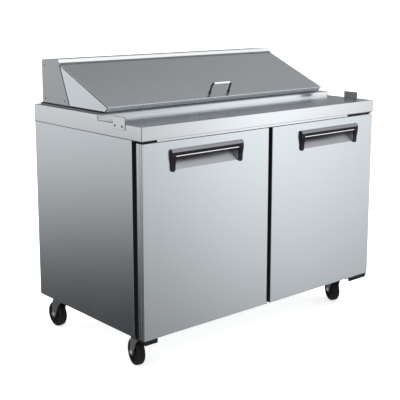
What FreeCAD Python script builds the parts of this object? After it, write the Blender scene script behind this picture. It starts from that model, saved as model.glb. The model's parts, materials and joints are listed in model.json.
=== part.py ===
"""Two-door refrigerated sandwich prep table: cabinet, doors, hood, lid, pans, casters and cooling.

Millimetres, +Z up, +X to the right of a person facing the doors, +Y towards the back.
The shapes are built with Y = 0 on the worktop's front edge. The last step moves them so that
the origin is on the floor under the middle of the table.
"""

import math
import os

import FreeCAD
import Part

V = FreeCAD.Vector

# ---------------------------------------------------------------- driving dimensions

WIDTH = 1224.0  # worktop, side to side
DEPTH = 695.0  # worktop, front to back
CENTRE_Y = 361.5  # middle of the table from the front edge, casters and handles included
LEDGE_Z = 907.0  # low front ledge of the worktop
DECK_Z = 924.0  # raised rear deck
DECK_Y = 257.0  # front of the raised deck
APRON_Z = 859.0  # bottom edge of the aprons
BASE_Z = 150.0  # underside of the cabinet
SHEET = 1.2  # steel sheet of the cabinet
TOP_SHEET = 2.0  # steel sheet of the worktop

SIDE_X = 610.0  # outer face of the side panels
FACE_Y = 60.0  # front face of the cabinet, behind the doors
WALL_X = 566.0  # inner face of the side walls
FLOOR_Z = 192.0  # floor of the cold store
LINTEL_Z = 815.0  # top of the door openings
MULLION_X = 32.0  # half the width of the centre post
REAR_WALL_Y = 650.0  # rear wall of the cold store
MACHINE_Y = 455.0  # front of the machine compartment
MACHINE_Z = 440.0  # top of the machine compartment
FOAM = 42.0  # thickness of the insulated walls round it

DOOR_OUT_X = 607.3  # outer edge of a door
DOOR_IN_X = 10.0  # edge of a door at the centre gap
DOOR_Y = 1.0  # front face of a door
DOOR_THICK = 36.0
DOOR_Z0 = 151.5
DOOR_Z1 = 849.0
HINGE_X = 597.0  # door hinge axis
HINGE_Y = 20.0
GASKET_GAP = 0.3  # between a gasket and the cabinet's face
RUN = 0.05  # radial clearance of a pin in its bore
PIN_R = 5.0  # door hinge pins
TOP_HINGE_X = (560.0, 455.0)  # inner ends of the left and the right top bracket
BOTTOM_HINGE_X = (547.0, 493.0)
DOOR_SHEET = 1.0
GASKET_W = 24.0
LINER_EDGE = 58.0  # from a door's edge to the raised panel of its liner
LINER_RAISE = 9.0

HANDLE_W = 338.0  # door handle, end to end
HANDLE_X = (-320.0, 332.0)  # middle of the left and the right handle
HANDLE_Z0 = 740.0
HANDLE_Z1 = 820.0
HANDLE_OUT = 12.0  # how far the handle's hood stands out from the door
LEG_W = 19.0
SCOOP_Z = (743.0, 790.0, 812.0)  # finger scoop: front bottom edge, back bottom edge, top
SCOOP_DEEP = 28.0
HANDLE_LIP_Z = 789.0  # lower edge of the handle's hood

HOOD_X0 = -583.0  # left end of the hood and the lid
HOOD_X1 = 540.0  # right end
APEX = (547.0, 1085.0)  # lid hinge axis, as (Y, Z)
SEAM = (483.0, 931.0)  # bottom of the seam between the hood and the lid
LID_TIP = (232.0, 950.0)
LID_FOLD = (254.0, 931.3)
HOOD_BACK_Y = 676.0
HOOD_REAR_TOP_Z = 1097.0
HOOD_FRONT_TOP = (560.0, 1102.0)
HOOD_SHEET = 1.5
HOOD_WALL = 20.0  # insulated thickness of the hood

PAN_COUNT = 6
PAN_PITCH = 176.0
PAN_X0 = -549.0  # left edge of the first pan's rim
PAN_Y0 = 275.0  # front edge of the rims
PAN_LEN = 325.0
PAN_DEEP = 100.0
PAN_LIP = 8.0  # rim overlap on the worktop

WHEEL_R = 51.0
WHEEL_W = 32.0
SWIVEL_X = 540.0
SWIVEL_Y = (118.0, 648.0)
TRAIL = 36.0
CASTER_TURN = {"front_left": 12.0, "front_right": 24.0, "rear_left": 0.0, "rear_right": 17.0}
AXLE_R = 6.0
KINGPIN_R = 8.0

CASTER_PLATE_Z = 144.0  # underside of the caster plates
CASTER_PLATE_HALF = 42.0

FAN_SHAFT_R = 3.0
CONDENSER_FAN = (-300.0, 585.0, 290.0)
EVAPORATOR_FAN = (0.0, 600.0, 655.0)

CONTROL_X = 470.0
CONTROL_Z = 385.0
GLAND_X = 548.0
GLAND_Z = 185.0
GLAND_BORE_R = 4.5
GLAND_OUT = 18.0  # how far the gland stands out from the grille


# ---------------------------------------------------------------- helpers


def box(x0, x1, y0, y1, z0, z1):
    """A block between two opposite corners."""
    return Part.makeBox(x1 - x0, y1 - y0, z1 - z0, V(x0, y0, z0))


def prism_x(points, x0, x1):
    """A (Y, Z) outline drawn out along X."""
    ring = [V(x0, y, z) for y, z in points]
    return Part.Face(Part.makePolygon(ring + ring[:1])).extrude(V(x1 - x0, 0, 0))


def rod(start, end, radius):
    """A round bar between two points."""
    a = V(*start)
    b = V(*end)
    return Part.makeCylinder(radius, (b - a).Length, a, b - a)


def fuse(shapes):
    """One solid from several that touch or overlap."""
    whole = shapes[0]
    for piece in shapes[1:]:
        whole = whole.fuse(piece)
    return whole.removeSplitter()


def group(shapes):
    """Separate solids kept in one node."""
    return Part.makeCompound(shapes)


def mirror(shape):
    """The other-handed copy, across the middle plane."""
    return shape.mirror(V(0, 0, 0), V(1, 0, 0))


def inset(points, distance):
    """A (Y, Z) outline offset inwards by the same distance all round."""
    ring = [V(0, y, z) for y, z in points]
    wire = Part.makePolygon(ring + ring[:1])
    smaller = wire.makeOffset2D(-distance, 2)
    return [(v.Y, v.Z) for v in smaller.OrderedVertexes]


# ---------------------------------------------------------------- cabinet


def side_panels():
    """Outer side skins, from behind the doors to the back."""
    left = box(-SIDE_X, -SIDE_X + SHEET, FACE_Y, DEPTH, BASE_Z, APRON_Z)
    return {"side_panel_left": left, "side_panel_right": mirror(left)}


def base_pan():
    """Underside sheet with slots that let air into the machine compartment."""
    inner = SIDE_X - SHEET
    pan = box(-inner, inner, FACE_Y, DEPTH, BASE_Z, BASE_Z + SHEET)
    slots = [
        box(x, x + 60.0, y, y + 6.0, BASE_Z - 1.0, BASE_Z + 5.0)
        for x in (-380.0, -300.0, -220.0)
        for y in range(500, 660, 16)
    ]
    return pan.cut(group(slots))


def back_panel():
    """Upper rear skin, above the machine compartment's grille."""
    inner = SIDE_X - SHEET
    return box(-inner, inner, DEPTH - SHEET, DEPTH, MACHINE_Z, APRON_Z)


def rear_grille():
    """Removable cover of the machine compartment, with rows of louvres."""
    inner = SIDE_X - SHEET - 0.5
    low = BASE_Z + SHEET
    plate = box(-inner, inner, DEPTH - SHEET, DEPTH, low + 0.3, MACHINE_Z - 0.5)
    slots = []
    for row in range(12):
        z = 190.0 + row * 18.0
        for x in (-560.0, -380.0, -200.0, -20.0, 160.0):
            slots.append(box(x, x + 150.0, DEPTH - 5.0, DEPTH + 5.0, z, z + 7.0))
    x, z = CONTROL_X, CONTROL_Z
    window = box(x - 57.0, x + 52.0, DEPTH - 5.0, DEPTH + 5.0, z - 22.0, z + 22.0)
    cable = rod((GLAND_X, DEPTH - 5.0, GLAND_Z), (GLAND_X, DEPTH + 5.0, GLAND_Z), GLAND_BORE_R)
    return plate.cut(group(slots)).cut(window).cut(cable)


def pan_opening():
    """The hole in the worktop that the pans hang in, as (x0, x1, y0, y1)."""
    return (
        PAN_X0 + PAN_LIP,
        PAN_X0 + PAN_COUNT * PAN_PITCH - PAN_LIP,
        PAN_Y0 + PAN_LIP,
        PAN_Y0 + PAN_LEN - PAN_LIP,
    )


def worktop():
    """One folded sheet: front ledge, step up to the deck, aprons and the pan opening."""
    outer = [
        (0.0, APRON_Z),
        (0.0, LEDGE_Z),
        (DECK_Y, LEDGE_Z),
        (DECK_Y, DECK_Z),
        (DEPTH, DECK_Z),
        (DEPTH, APRON_Z),
    ]
    half = WIDTH / 2
    t = TOP_SHEET
    inner = [
        (t, APRON_Z),
        (t, LEDGE_Z - t),
        (DECK_Y + t, LEDGE_Z - t),
        (DECK_Y + t, DECK_Z - t),
        (DEPTH - t, DECK_Z - t),
        (DEPTH - t, APRON_Z),
    ]
    x0, x1, y0, y1 = pan_opening()
    sheet = prism_x(outer, -half, half).cut(prism_x(inner, -half + t, half - t))
    return sheet.cut(box(x0, x1, y0, y1, DECK_Z - 2 * t, DECK_Z + t))


def deck_curb():
    """Low frame on the deck, round the pans, that the hood and the lid close on."""
    x0, x1 = HOOD_X0 - 6.5, HOOD_X1 + 6.5
    outer = box(x0, x1, 262.0, 680.0, DECK_Z, SEAM[1])
    inner = box(x0 + 18.0, x1 - 18.0, PAN_Y0 - 1.0, 655.0, DECK_Z - 1.0, SEAM[1] + 1.0)
    return outer.cut(inner)


def insulation():
    """Foam in the cabinet's walls and under the worktop, as plain blocks."""
    y0 = FACE_Y + TOP_SHEET
    back = DEPTH - SHEET
    outer_x = SIDE_X - SHEET
    low = BASE_Z + SHEET
    step_y = MACHINE_Y - FOAM
    step_z = MACHINE_Z + FOAM
    side = [
        box(-outer_x, -WALL_X, y0, MACHINE_Y, low, APRON_Z),
        box(-outer_x, -WALL_X, MACHINE_Y, back, MACHINE_Z, APRON_Z),
    ]
    walls = [
        box(-WALL_X, WALL_X, y0, MACHINE_Y, low, FLOOR_Z),
        box(-WALL_X, WALL_X, step_y, MACHINE_Y, FLOOR_Z, step_z),
        box(-WALL_X, WALL_X, MACHINE_Y, back, MACHINE_Z, step_z),
        box(-WALL_X, WALL_X, REAR_WALL_Y + 1.0, back, step_z, APRON_Z),
        box(-WALL_X, WALL_X, y0, y0 + FOAM, LINTEL_Z, APRON_Z),
    ]
    return group(side + [mirror(block) for block in side] + walls + deck_foam())


def deck_foam():
    """Foam under the worktop: ledge, deck front, two ends and rear round the pan opening."""
    x0, x1, y0, y1 = pan_opening()
    t = TOP_SHEET
    half = WIDTH / 2 - t
    top = DECK_Z - t
    return [
        box(-half, half, t, DECK_Y + t, APRON_Z, LEDGE_Z - t),
        box(-half, half, DECK_Y + t, y0 - 1.0, APRON_Z, top),
        box(-half, x0 - 1.0, y0 - 1.0, y1 + 1.0, APRON_Z, top),
        box(x1 + 1.0, half, y0 - 1.0, y1 + 1.0, APRON_Z, top),
        box(-half, half, y1 + 1.0, DEPTH - t, APRON_Z, top),
    ]


def inner_liner():
    """Thin tub inside the cold store, with the well that the pans hang in."""
    t = 1.0
    y0 = FACE_Y + TOP_SHEET
    step_y = MACHINE_Y - FOAM
    step_z = MACHINE_Z + FOAM
    profile = [
        (y0, FLOOR_Z),
        (step_y, FLOOR_Z),
        (step_y, step_z),
        (REAR_WALL_Y + t, step_z),
        (REAR_WALL_Y + t, APRON_Z),
        (y0 + FOAM, APRON_Z),
        (y0 + FOAM, LINTEL_Z),
        (y0, LINTEL_Z),
    ]
    hollow = [
        (y0 - 1.0, FLOOR_Z + t),
        (step_y - t, FLOOR_Z + t),
        (step_y - t, step_z + t),
        (REAR_WALL_Y, step_z + t),
        (REAR_WALL_Y, APRON_Z - t),
        (y0 + FOAM + t, APRON_Z - t),
        (y0 + FOAM + t, LINTEL_Z - t),
        (y0 - 1.0, LINTEL_Z - t),
    ]
    tub = prism_x(profile, -WALL_X, WALL_X).cut(prism_x(hollow, -WALL_X + t, WALL_X - t))
    x0, x1, w0, w1 = pan_opening()
    well = box(x0 - t, x1 + t, w0 - t, w1 + t, APRON_Z - t, DECK_Z - TOP_SHEET)
    mouth = box(x0, x1, w0, w1, APRON_Z - 5.0, DECK_Z + 1.0)
    post = box(-MULLION_X, MULLION_X, y0 - 2.0, y0 + FOAM + 2.0, FLOOR_Z - 2.0, LINTEL_Z + 2.0)
    return fuse([tub, well]).cut(mouth).cut(post)


def mullion():
    """Centre post between the door openings."""
    y0 = FACE_Y + TOP_SHEET
    return box(-MULLION_X, MULLION_X, y0, y0 + FOAM, FLOOR_Z, LINTEL_Z)


def door_frame():
    """Breaker frame on the cabinet's face, round the two door openings."""
    edge = SIDE_X - SHEET
    frame = box(-edge, edge, FACE_Y, FACE_Y + TOP_SHEET, BASE_Z + SHEET, APRON_Z)
    left = box(-WALL_X + 1.0, -MULLION_X, 0.0, 100.0, FLOOR_Z + 1.0, LINTEL_Z - 1.0)
    return frame.cut(left).cut(mirror(left))


def pan_dividers():
    """Bars across the pan opening, under the rims of neighbouring pans."""
    _, _, y0, y1 = pan_opening()
    bars = []
    for k in range(1, PAN_COUNT):
        x = PAN_X0 + k * PAN_PITCH
        bars.append(box(x - 6.0, x + 6.0, y0, y1, DECK_Z - 5.0, DECK_Z))
    return group(bars)


def rounded_block(x0, x1, y0, y1, z0, z1, corner, foot):
    """A block with rounded upright edges and a rounded bottom."""
    block = box(x0, x1, y0, y1, z0, z1)
    uprights = [e for e in block.Edges if abs(e.tangentAt(0).z) > 0.9]
    block = block.makeFillet(corner, uprights)
    under = [e for e in block.Edges if e.BoundBox.ZMax < z0 + 0.01]
    return block.makeFillet(foot, under)


def one_pan(index):
    """A third-size ingredient pan hanging by its rim."""
    t = 1.2
    x = PAN_X0 + index * PAN_PITCH
    rim_z = DECK_Z + 0.2
    rim_top = rim_z + t
    x0, x1 = x + 9.0, x + PAN_PITCH - 9.0
    y0, y1 = PAN_Y0 + 12.0, PAN_Y0 + PAN_LEN - 12.0
    bottom = rim_z - PAN_DEEP
    body = rounded_block(x0, x1, y0, y1, bottom, rim_top, 22.0, 10.0)
    rim = box(x + 0.5, x + PAN_PITCH - 0.5, PAN_Y0, PAN_Y0 + PAN_LEN, rim_z, rim_top)
    corners = [e for e in rim.Edges if abs(e.tangentAt(0).z) > 0.9]
    rim = rim.makeFillet(10.0, corners)
    hollow = rounded_block(x0 + t, x1 - t, y0 + t, y1 - t, bottom + t, rim_top + 12.0, 20.8, 8.8)
    return fuse([body, rim]).cut(hollow)


def shelf(x0, x1):
    """Coated wire shelf: a flat-bar rim, three bearers and close cross wires on top."""
    y0, y1, z0, z1 = 116.0, 640.0, 504.5, 510.5
    bar = 6.0
    inside = box(x0 + bar, x1 - bar, y0 + bar, y1 - bar, z0 - 1.0, z1 + 1.0)
    rim = box(x0, x1, y0, y1, z0, z1).cut(inside)
    bearers = [box(x0 + 1.0, x1 - 1.0, y, y + bar, z0 + 1.0, z1 - 1.0) for y in (250.0, 380.0, 510.0)]
    count = 18
    step = (x1 - x0) / (count + 1)
    wire_z = z1 + 0.4
    wires = []
    for k in range(count):
        x = x0 + step * (k + 1)
        wires.append(rod((x, y0 + 1.0, wire_z), (x, y1 - 1.0, wire_z), 1.8))
    return fuse([rim] + bearers + wires)


def shelf_clips():
    """Angle clips on the side walls and on the rear wall that the shelves sit on."""
    clips = []
    wall = WALL_X - 1.0
    for y in (160.0, 600.0):
        plate = box(-wall, -wall + 2.0, y - 15.0, y + 15.0, 490.0, 530.0)
        foot = box(-wall + 2.0, -wall + 12.0, y - 15.0, y + 15.0, 502.0, 504.2)
        clips.append(fuse([plate, foot]))
    for x in (-120.0, -60.0):
        plate = box(x - 15.0, x + 15.0, REAR_WALL_Y - 2.0, REAR_WALL_Y, 490.0, 530.0)
        foot = box(x - 15.0, x + 15.0, REAR_WALL_Y - 16.0, REAR_WALL_Y - 2.0, 502.0, 504.2)
        clips.append(fuse([plate, foot]))
    return group(clips + [mirror(c) for c in clips])


# ---------------------------------------------------------------- hood and lid


def hood_wall_profile():
    """Outline of the hood's insulated rear wall, top and front lip, as (Y, Z) points."""
    back, rear_top = HOOD_BACK_Y, HOOD_REAR_TOP_Z
    front = HOOD_FRONT_TOP
    return [
        (back, SEAM[1]),
        (back, rear_top),
        front,
        (APEX[0] + 3.4, APEX[1] + 4.5),
        (APEX[0] + 17.0, rear_top - HOOD_WALL - 0.5),
        (back - HOOD_WALL, rear_top - HOOD_WALL - 4.0),
        (back - HOOD_WALL, SEAM[1]),
    ]


def hood_foam():
    """Foam that fills the hood's double wall."""
    t = HOOD_SHEET
    return prism_x(inset(hood_wall_profile(), t), HOOD_X0 + 2 * t, HOOD_X1 - 2 * t)


def seam_point(z, shift):
    """Y of the hood-to-lid seam at a height, moved back by shift."""
    slope = (APEX[0] - SEAM[0]) / (APEX[1] - SEAM[1])
    return SEAM[0] + (z - SEAM[1]) * slope + shift


def hood():
    """Fixed rear hood: double wall along the back and top, and two end plates."""
    t = HOOD_SHEET
    wall = prism_x(hood_wall_profile(), HOOD_X0 + t, HOOD_X1 - t).cut(hood_foam())
    end = [
        (HOOD_BACK_Y, SEAM[1]),
        (HOOD_BACK_Y, HOOD_REAR_TOP_Z),
        HOOD_FRONT_TOP,
        APEX,
        (seam_point(SEAM[1], 0.75), SEAM[1]),
    ]
    plates = []
    for x0 in (HOOD_X0, HOOD_X1 - t):
        ear = rod((x0, *APEX), (x0 + t, *APEX), 6.0)
        bore = rod((x0 - 1.0, *APEX), (x0 + t + 1.0, *APEX), 3.0)
        plates.append(fuse([prism_x(end, x0, x0 + t), ear]).cut(bore))
    return fuse([wall] + plates)


def lid_hinge_rod():
    """Full-width rod in the hood's ends that the lid turns on."""
    return rod((HOOD_X0, *APEX), (HOOD_X1, *APEX), 3.0)


def lid_point(along, deep):
    """(Y, Z) at a distance down the lid's slope and below its top face."""
    dy, dz = LID_TIP[0] - APEX[0], LID_TIP[1] - APEX[1]
    length = math.hypot(dy, dz)
    ey, ez = dy / length, dz / length
    return (APEX[0] + along * ey - deep * ez, APEX[1] + along * ez + deep * ey)


def lid_length():
    """Length of the lid's sloping face, hinge to tip."""
    return math.hypot(LID_TIP[0] - APEX[0], LID_TIP[1] - APEX[1])


def lid_skin():
    """Folded lid: sloping top, front fold, two triangular ends and the hinge curl."""
    t = HOOD_SHEET
    tip = lid_length()
    top = [lid_point(0, 0), lid_point(tip, 0), lid_point(tip - 2.0, t), lid_point(0, t)]
    fold = [LID_TIP, LID_FOLD, (LID_FOLD[0] + 2.0, LID_FOLD[1]), (LID_TIP[0] + 2.6, LID_TIP[1] + 0.4)]
    end = [
        lid_point(0, 0),
        LID_TIP,
        LID_FOLD,
        (seam_point(LID_FOLD[1], -0.75), LID_FOLD[1]),
        (seam_point(APEX[1], -0.75), APEX[1] - 0.4),
    ]
    body = [prism_x(top, HOOD_X0, HOOD_X1), prism_x(fold, HOOD_X0, HOOD_X1)]
    body += [prism_x(end, x0, x0 + t) for x0 in (HOOD_X0, HOOD_X1 - t)]
    skin = fuse(body)
    for x0 in (HOOD_X0 - 1.0, HOOD_X1 - t - 0.4):
        skin = skin.cut(rod((x0, *APEX), (x0 + t + 1.4, *APEX), 7.5))
    curl = rod((HOOD_X0 + t + 0.5, *APEX), (HOOD_X1 - t - 0.5, *APEX), 4.4)
    bore = rod((HOOD_X0 - 1.0, *APEX), (HOOD_X1 + 1.0, *APEX), 3.0 + RUN)
    return fuse([skin, curl]).cut(bore)


def lid_slab(start, end, top, bottom, side):
    """A flat piece inside the lid, parallel to its sloping face."""
    outline = [
        lid_point(start, top),
        lid_point(end, top),
        lid_point(end, bottom),
        lid_point(start, bottom),
    ]
    return prism_x(outline, HOOD_X0 + side, HOOD_X1 - side)


def lid_handle():
    """Bent-rod pull with round feet, across the front of the lid."""
    r = 4.0
    bend = 11.0
    tall = 44.0
    along = lid_length() - 38.0
    x0, x1 = -74.0, 25.0

    def at(x, high):
        y, z = lid_point(along, -high)
        return V(x, y, z)

    corner = bend * (1.0 - math.sqrt(0.5))
    top = tall - r
    left_arc = Part.Arc(at(x0, top - bend), at(x0 + corner, top - corner), at(x0 + bend, top))
    right_arc = Part.Arc(at(x1 - bend, top), at(x1 - corner, top - corner), at(x1, top - bend))
    path = Part.Wire(
        [
            Part.LineSegment(at(x0, 0), at(x0, top - bend)).toShape(),
            left_arc.toShape(),
            Part.LineSegment(at(x0 + bend, top), at(x1 - bend, top)).toShape(),
            right_arc.toShape(),
            Part.LineSegment(at(x1, top - bend), at(x1, 0)).toShape(),
        ]
    )
    up = at(x0, 1.0) - at(x0, 0.0)
    circle = Part.Wire(Part.makeCircle(r, at(x0, 0), up))
    bar = path.makePipeShell([circle], True, False)
    feet = [Part.makeCylinder(6.5, 2.5, at(x, 0), up) for x in (x0, x1)]
    return fuse([bar] + feet)


# ---------------------------------------------------------------- brackets and fasteners


def board_bracket():
    """Left upright tab on the side apron that a cutting board is held by."""
    x = -WIDTH / 2
    plate = box(x - 2.5, x, 92.0, 161.0, 888.0, 931.0)
    corners = [e for e in plate.Edges if abs(e.tangentAt(0).x) > 0.9]
    return plate.makeFillet(3.0, corners)


def cover_screws():
    """Pan-head screws of the board brackets and of the hood's ends."""
    heads = []
    out = WIDTH / 2 + 2.5
    for side in (-1, 1):
        for y in (108.0, 150.0):
            heads.append(rod((side * out, y, 899.0), (side * (out + 2.2), y, 899.0), 4.0))
    for y, z in ((518.0, 947.0), (655.0, 947.0), (655.0, 1075.0)):
        heads.append(rod((HOOD_X0, y, z), (HOOD_X0 - 1.6, y, z), 3.0))
        heads.append(rod((HOOD_X1, y, z), (HOOD_X1 + 1.6, y, z), 3.0))
    return group(heads)


def hinge_bracket(side, inner_x, z0, z1, pin_z0, pin_z1, rear_y):
    """Plate bolted to the cabinet with the pin that a door turns on."""
    x0, x1 = sorted((side * inner_x, side * (DOOR_OUT_X - 1.0)))
    plate = box(x0, x1, 6.0, rear_y, z0, z1)
    pin = rod((side * HINGE_X, HINGE_Y, pin_z0), (side * HINGE_X, HINGE_Y, pin_z1), PIN_R)
    return plate, pin


def top_hinge(side, inner_x):
    """Black bracket in the gap over a door, with bolt heads and its pin."""
    plate, pin = hinge_bracket(side, inner_x, 853.0, APRON_Z, 836.0, 855.0, FACE_Y)
    bolts = []
    span = DOOR_OUT_X - 24.0 - inner_x
    for k in range(3):
        x = side * (inner_x + 9.0 + span * k / 2)
        bolts.append(rod((x, 14.0, 850.0), (x, 14.0, 854.0), 5.0))
    return fuse([plate, pin] + bolts)


def bottom_hinge(side, inner_x):
    """Black bracket under a door: plate on the base, front flange and its pin."""
    plate, pin = hinge_bracket(side, inner_x, 144.0, BASE_Z, 146.0, 166.0, 84.0)
    x0, x1 = sorted((side * inner_x, side * (DOOR_OUT_X - 5.0)))
    flange = box(x0, x1, 6.0, 10.0, 133.0, BASE_Z)
    rib = box(x0, x1, 30.0, 34.0, 136.0, BASE_Z - 5.0)
    return fuse([plate, flange, rib, pin])


# ---------------------------------------------------------------- doors


def door_block(grow=0.0):
    """Left door's outer block, made smaller all round by a sheet's thickness."""
    return box(
        -DOOR_OUT_X + grow,
        -DOOR_IN_X - grow,
        DOOR_Y + grow,
        DOOR_Y + DOOR_THICK,
        DOOR_Z0 + grow,
        DOOR_Z1 - grow,
    )


def pocket_profile(grow):
    """Side outline of the handle's finger scoop, deep at the top."""
    front = DOOR_Y - 2.0
    deep = DOOR_Y + SCOOP_DEEP - grow
    low, shelf_z, high = SCOOP_Z
    return [
        (front, low + grow),
        (deep, shelf_z + grow / 2),
        (deep, high - grow),
        (front, high - grow),
    ]


def pocket_span(middle):
    """Left and right limits of the finger scoop."""
    half = HANDLE_W / 2 - LEG_W + 3.0
    return middle - half, middle + half


def door_bores():
    """Holes for the hinge pins in the left door's bottom and top."""
    spans = ((DOOR_Z0 - 5.0, DOOR_Z0 + 16.0), (DOOR_Z1 - 15.0, DOOR_Z1 + 5.0))
    low, high = (
        rod((-HINGE_X, HINGE_Y, z0), (-HINGE_X, HINGE_Y, z1), PIN_R + RUN) for z0, z1 in spans
    )
    return low.fuse(high)


def door_skin(scoop):
    """Left door's folded outer skin, open at the back."""
    return door_block().cut(door_block(DOOR_SHEET)).cut(scoop).cut(door_bores())


def door_core(scoop):
    """Foam that fills the left door's skin, up to its liner."""
    block = door_block(DOOR_SHEET)
    back = DOOR_Y + DOOR_THICK
    liner_room = box(-DOOR_OUT_X, 0.0, back - DOOR_SHEET, back + 1.0, DOOR_Z0, DOOR_Z1)
    return block.cut(liner_room).cut(scoop).cut(door_bores())


def door_liner():
    """Left door's inner sheet, with a raised panel inside the gasket."""
    t = DOOR_SHEET
    back = DOOR_Y + DOOR_THICK
    panel = box(-DOOR_OUT_X + t, -DOOR_IN_X - t, back - t, back, DOOR_Z0 + t, DOOR_Z1 - t)
    raised = box(
        -DOOR_OUT_X + LINER_EDGE + LINER_RAISE,
        -DOOR_IN_X - LINER_EDGE,
        back,
        back + LINER_RAISE,
        DOOR_Z0 + LINER_EDGE,
        DOOR_Z1 - LINER_EDGE,
    )
    return fuse([panel, raised])


def door_gasket():
    """Magnetic gasket round the left door's back."""
    y0, y1 = DOOR_Y + DOOR_THICK, FACE_Y - GASKET_GAP
    x0, x1 = -HINGE_X, -DOOR_IN_X - 3.0
    z0, z1 = DOOR_Z0 + 3.0, DOOR_Z1 - 3.0
    w = GASKET_W
    return box(x0, x1, y0, y1, z0, z1).cut(box(x0 + w, x1 - w, y0 - 1.0, y1 + 1.0, z0 + w, z1 - w))


def handle_pocket(scoop, middle):
    """Thin lining of the finger scoop, flush with the door's face."""
    x0, x1 = pocket_span(middle)
    wall = 1.2
    hollow = prism_x(pocket_profile(wall), x0 + wall, x1 - wall)
    proud = box(x0 - 1.0, x1 + 1.0, DOOR_Y - 10.0, DOOR_Y, SCOOP_Z[0] - 1.0, SCOOP_Z[2] + 1.0)
    return scoop.cut(hollow).cut(proud)


def edge_trim():
    """Strip on the left door's edge at the centre gap."""
    back = DOOR_Y + DOOR_THICK
    return box(-DOOR_IN_X, -DOOR_IN_X + 1.5, DOOR_Y + 0.5, back, DOOR_Z0 + 1.0, DOOR_Z1 - 1.0)


def door_parts(side, middle):
    """The pieces of one door; the right one is built as the left one's mirror image."""
    left_middle = -abs(middle)
    scoop = prism_x(pocket_profile(0.0), *pocket_span(left_middle))
    parts = {
        "skin": door_skin(scoop),
        "core": door_core(scoop),
        "liner": door_liner(),
        "gasket": door_gasket(),
        "handle_pocket": handle_pocket(scoop, left_middle),
        "handle": door_handle(left_middle),
        "edge_trim": edge_trim(),
    }
    if side == "right":
        parts = {name: mirror(shape) for name, shape in parts.items()}
    return {f"{side}_door_{name}": shape for name, shape in parts.items()}


def door_handle(middle):
    """Handle bezel: a curved hood across the top and two legs with rounded ends."""
    x0, x1 = middle - HANDLE_W / 2, middle + HANDLE_W / 2
    y = DOOR_Y
    out = DOOR_Y - HANDLE_OUT
    lip = HANDLE_LIP_Z
    wall = 3.0
    curve_z = HANDLE_Z1 - 15.0
    arc = Part.Arc(V(x0, y, HANDLE_Z1), V(x0, y - 8.8, HANDLE_Z1 - 5.0), V(x0, out, curve_z))
    outline = [
        arc.toShape(),
        Part.makeLine(V(x0, out, curve_z), V(x0, out, lip)),
        Part.makeLine(V(x0, out, lip), V(x0, y, lip)),
        Part.makeLine(V(x0, y, lip), V(x0, y, HANDLE_Z1)),
    ]
    solid = Part.Face(Part.Wire(outline)).extrude(V(HANDLE_W, 0, 0))
    hollow = box(x0 + LEG_W, x1 - LEG_W, out + wall, y + 1.0, lip - 1.0, HANDLE_Z1 - 10.0)
    hood_part = solid.cut(hollow)
    legs = []
    r = LEG_W / 2
    for x in (x0, x1 - LEG_W):
        plate = box(x, x + LEG_W, y - 5.0, y, HANDLE_Z0 + r, lip + 1.0)
        foot = rod((x + r, y - 5.0, HANDLE_Z0 + r), (x + r, y, HANDLE_Z0 + r), r)
        legs.append(fuse([plate, foot]))
    return fuse([hood_part] + legs)


# ---------------------------------------------------------------- casters


def caster_plates():
    """Top plates with their raceways and kingpins, one under each corner."""
    plates = []
    low = CASTER_PLATE_Z
    front_y, rear_y = SWIVEL_Y
    spans = ((front_y, front_y - 32.0, front_y + 52.0), (rear_y, rear_y - 52.0, rear_y + 46.0))
    for x in (-SWIVEL_X, SWIVEL_X):
        for y, y0, y1 in spans:
            plate = box(x - CASTER_PLATE_HALF, x + CASTER_PLATE_HALF, y0, y1, low, BASE_Z)
            race = rod((x, y, low - 6.0), (x, y, low), 28.0)
            kingpin = rod((x, y, low - 20.0), (x, y, low - 6.0), KINGPIN_R)
            plates.append(fuse([plate, race, kingpin]))
    return group(plates)


def caster_fork():
    """Fork in its own frame: swivel axis on Z, wheel trailing towards +Y."""
    half = WHEEL_W / 2 + 2.5
    leg = 3.0
    crown = box(-half - leg, half + leg, -26.0, 30.0, 127.0, 132.0)
    disc = rod((0, 0, 127.0), (0, 0, 137.5), 27.0)
    side = [
        (-26.0, 132.0),
        (30.0, 132.0),
        (46.0, 96.0),
        (TRAIL + 13.0, WHEEL_R),
        (TRAIL + 6.0, WHEEL_R - 12.0),
        (TRAIL - 8.0, WHEEL_R - 12.0),
        (TRAIL - 16.0, WHEEL_R + 2.0),
        (-24.0, 118.0),
    ]
    legs = [prism_x(side, half, half + leg), prism_x(side, -half - leg, -half)]
    axle = rod((-half - leg - 5.0, TRAIL, WHEEL_R), (half + leg + 5.0, TRAIL, WHEEL_R), AXLE_R)
    bore = rod((0, 0, 120.0), (0, 0, 140.0), KINGPIN_R + RUN)
    return fuse([crown, disc] + legs + [axle]).cut(bore)


def caster_wheel():
    """Wheel in the fork's frame: rounded tyre, dished sides and a hub."""
    half = WHEEL_W / 2
    centre = (0, TRAIL, WHEEL_R)
    tyre = rod((-half + 1.0, *centre[1:]), (half - 1.0, *centre[1:]), WHEEL_R)
    rims = [e for e in tyre.Edges if e.Length > 2 * math.pi * WHEEL_R - 1.0]
    tyre = tyre.makeFillet(7.0, rims)
    for x0, x1 in ((-half, -half + 6.0), (half - 6.0, half)):
        dish = rod((x0, *centre[1:]), (x1, *centre[1:]), 37.0)
        hub = rod((x0, *centre[1:]), (x1, *centre[1:]), 13.0)
        tyre = tyre.cut(dish.cut(hub))
    hub = rod((-half, *centre[1:]), (half, *centre[1:]), 13.0)
    bore = rod((-half - 1.0, *centre[1:]), (half + 1.0, *centre[1:]), AXLE_R + RUN)
    return fuse([tyre, hub]).cut(bore)


def place_caster(shape, corner):
    """Turns a caster piece to its parked direction and sets it under its corner."""
    end, hand = corner.split("_")
    x = -SWIVEL_X if hand == "left" else SWIVEL_X
    y = SWIVEL_Y[0] if end == "front" else SWIVEL_Y[1]
    placed = shape.copy()
    placed.rotate(V(0, 0, 0), V(0, 0, 1), -CASTER_TURN[corner])
    placed.translate(V(x, y, 0))
    return placed


# ---------------------------------------------------------------- cooling and controls


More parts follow.
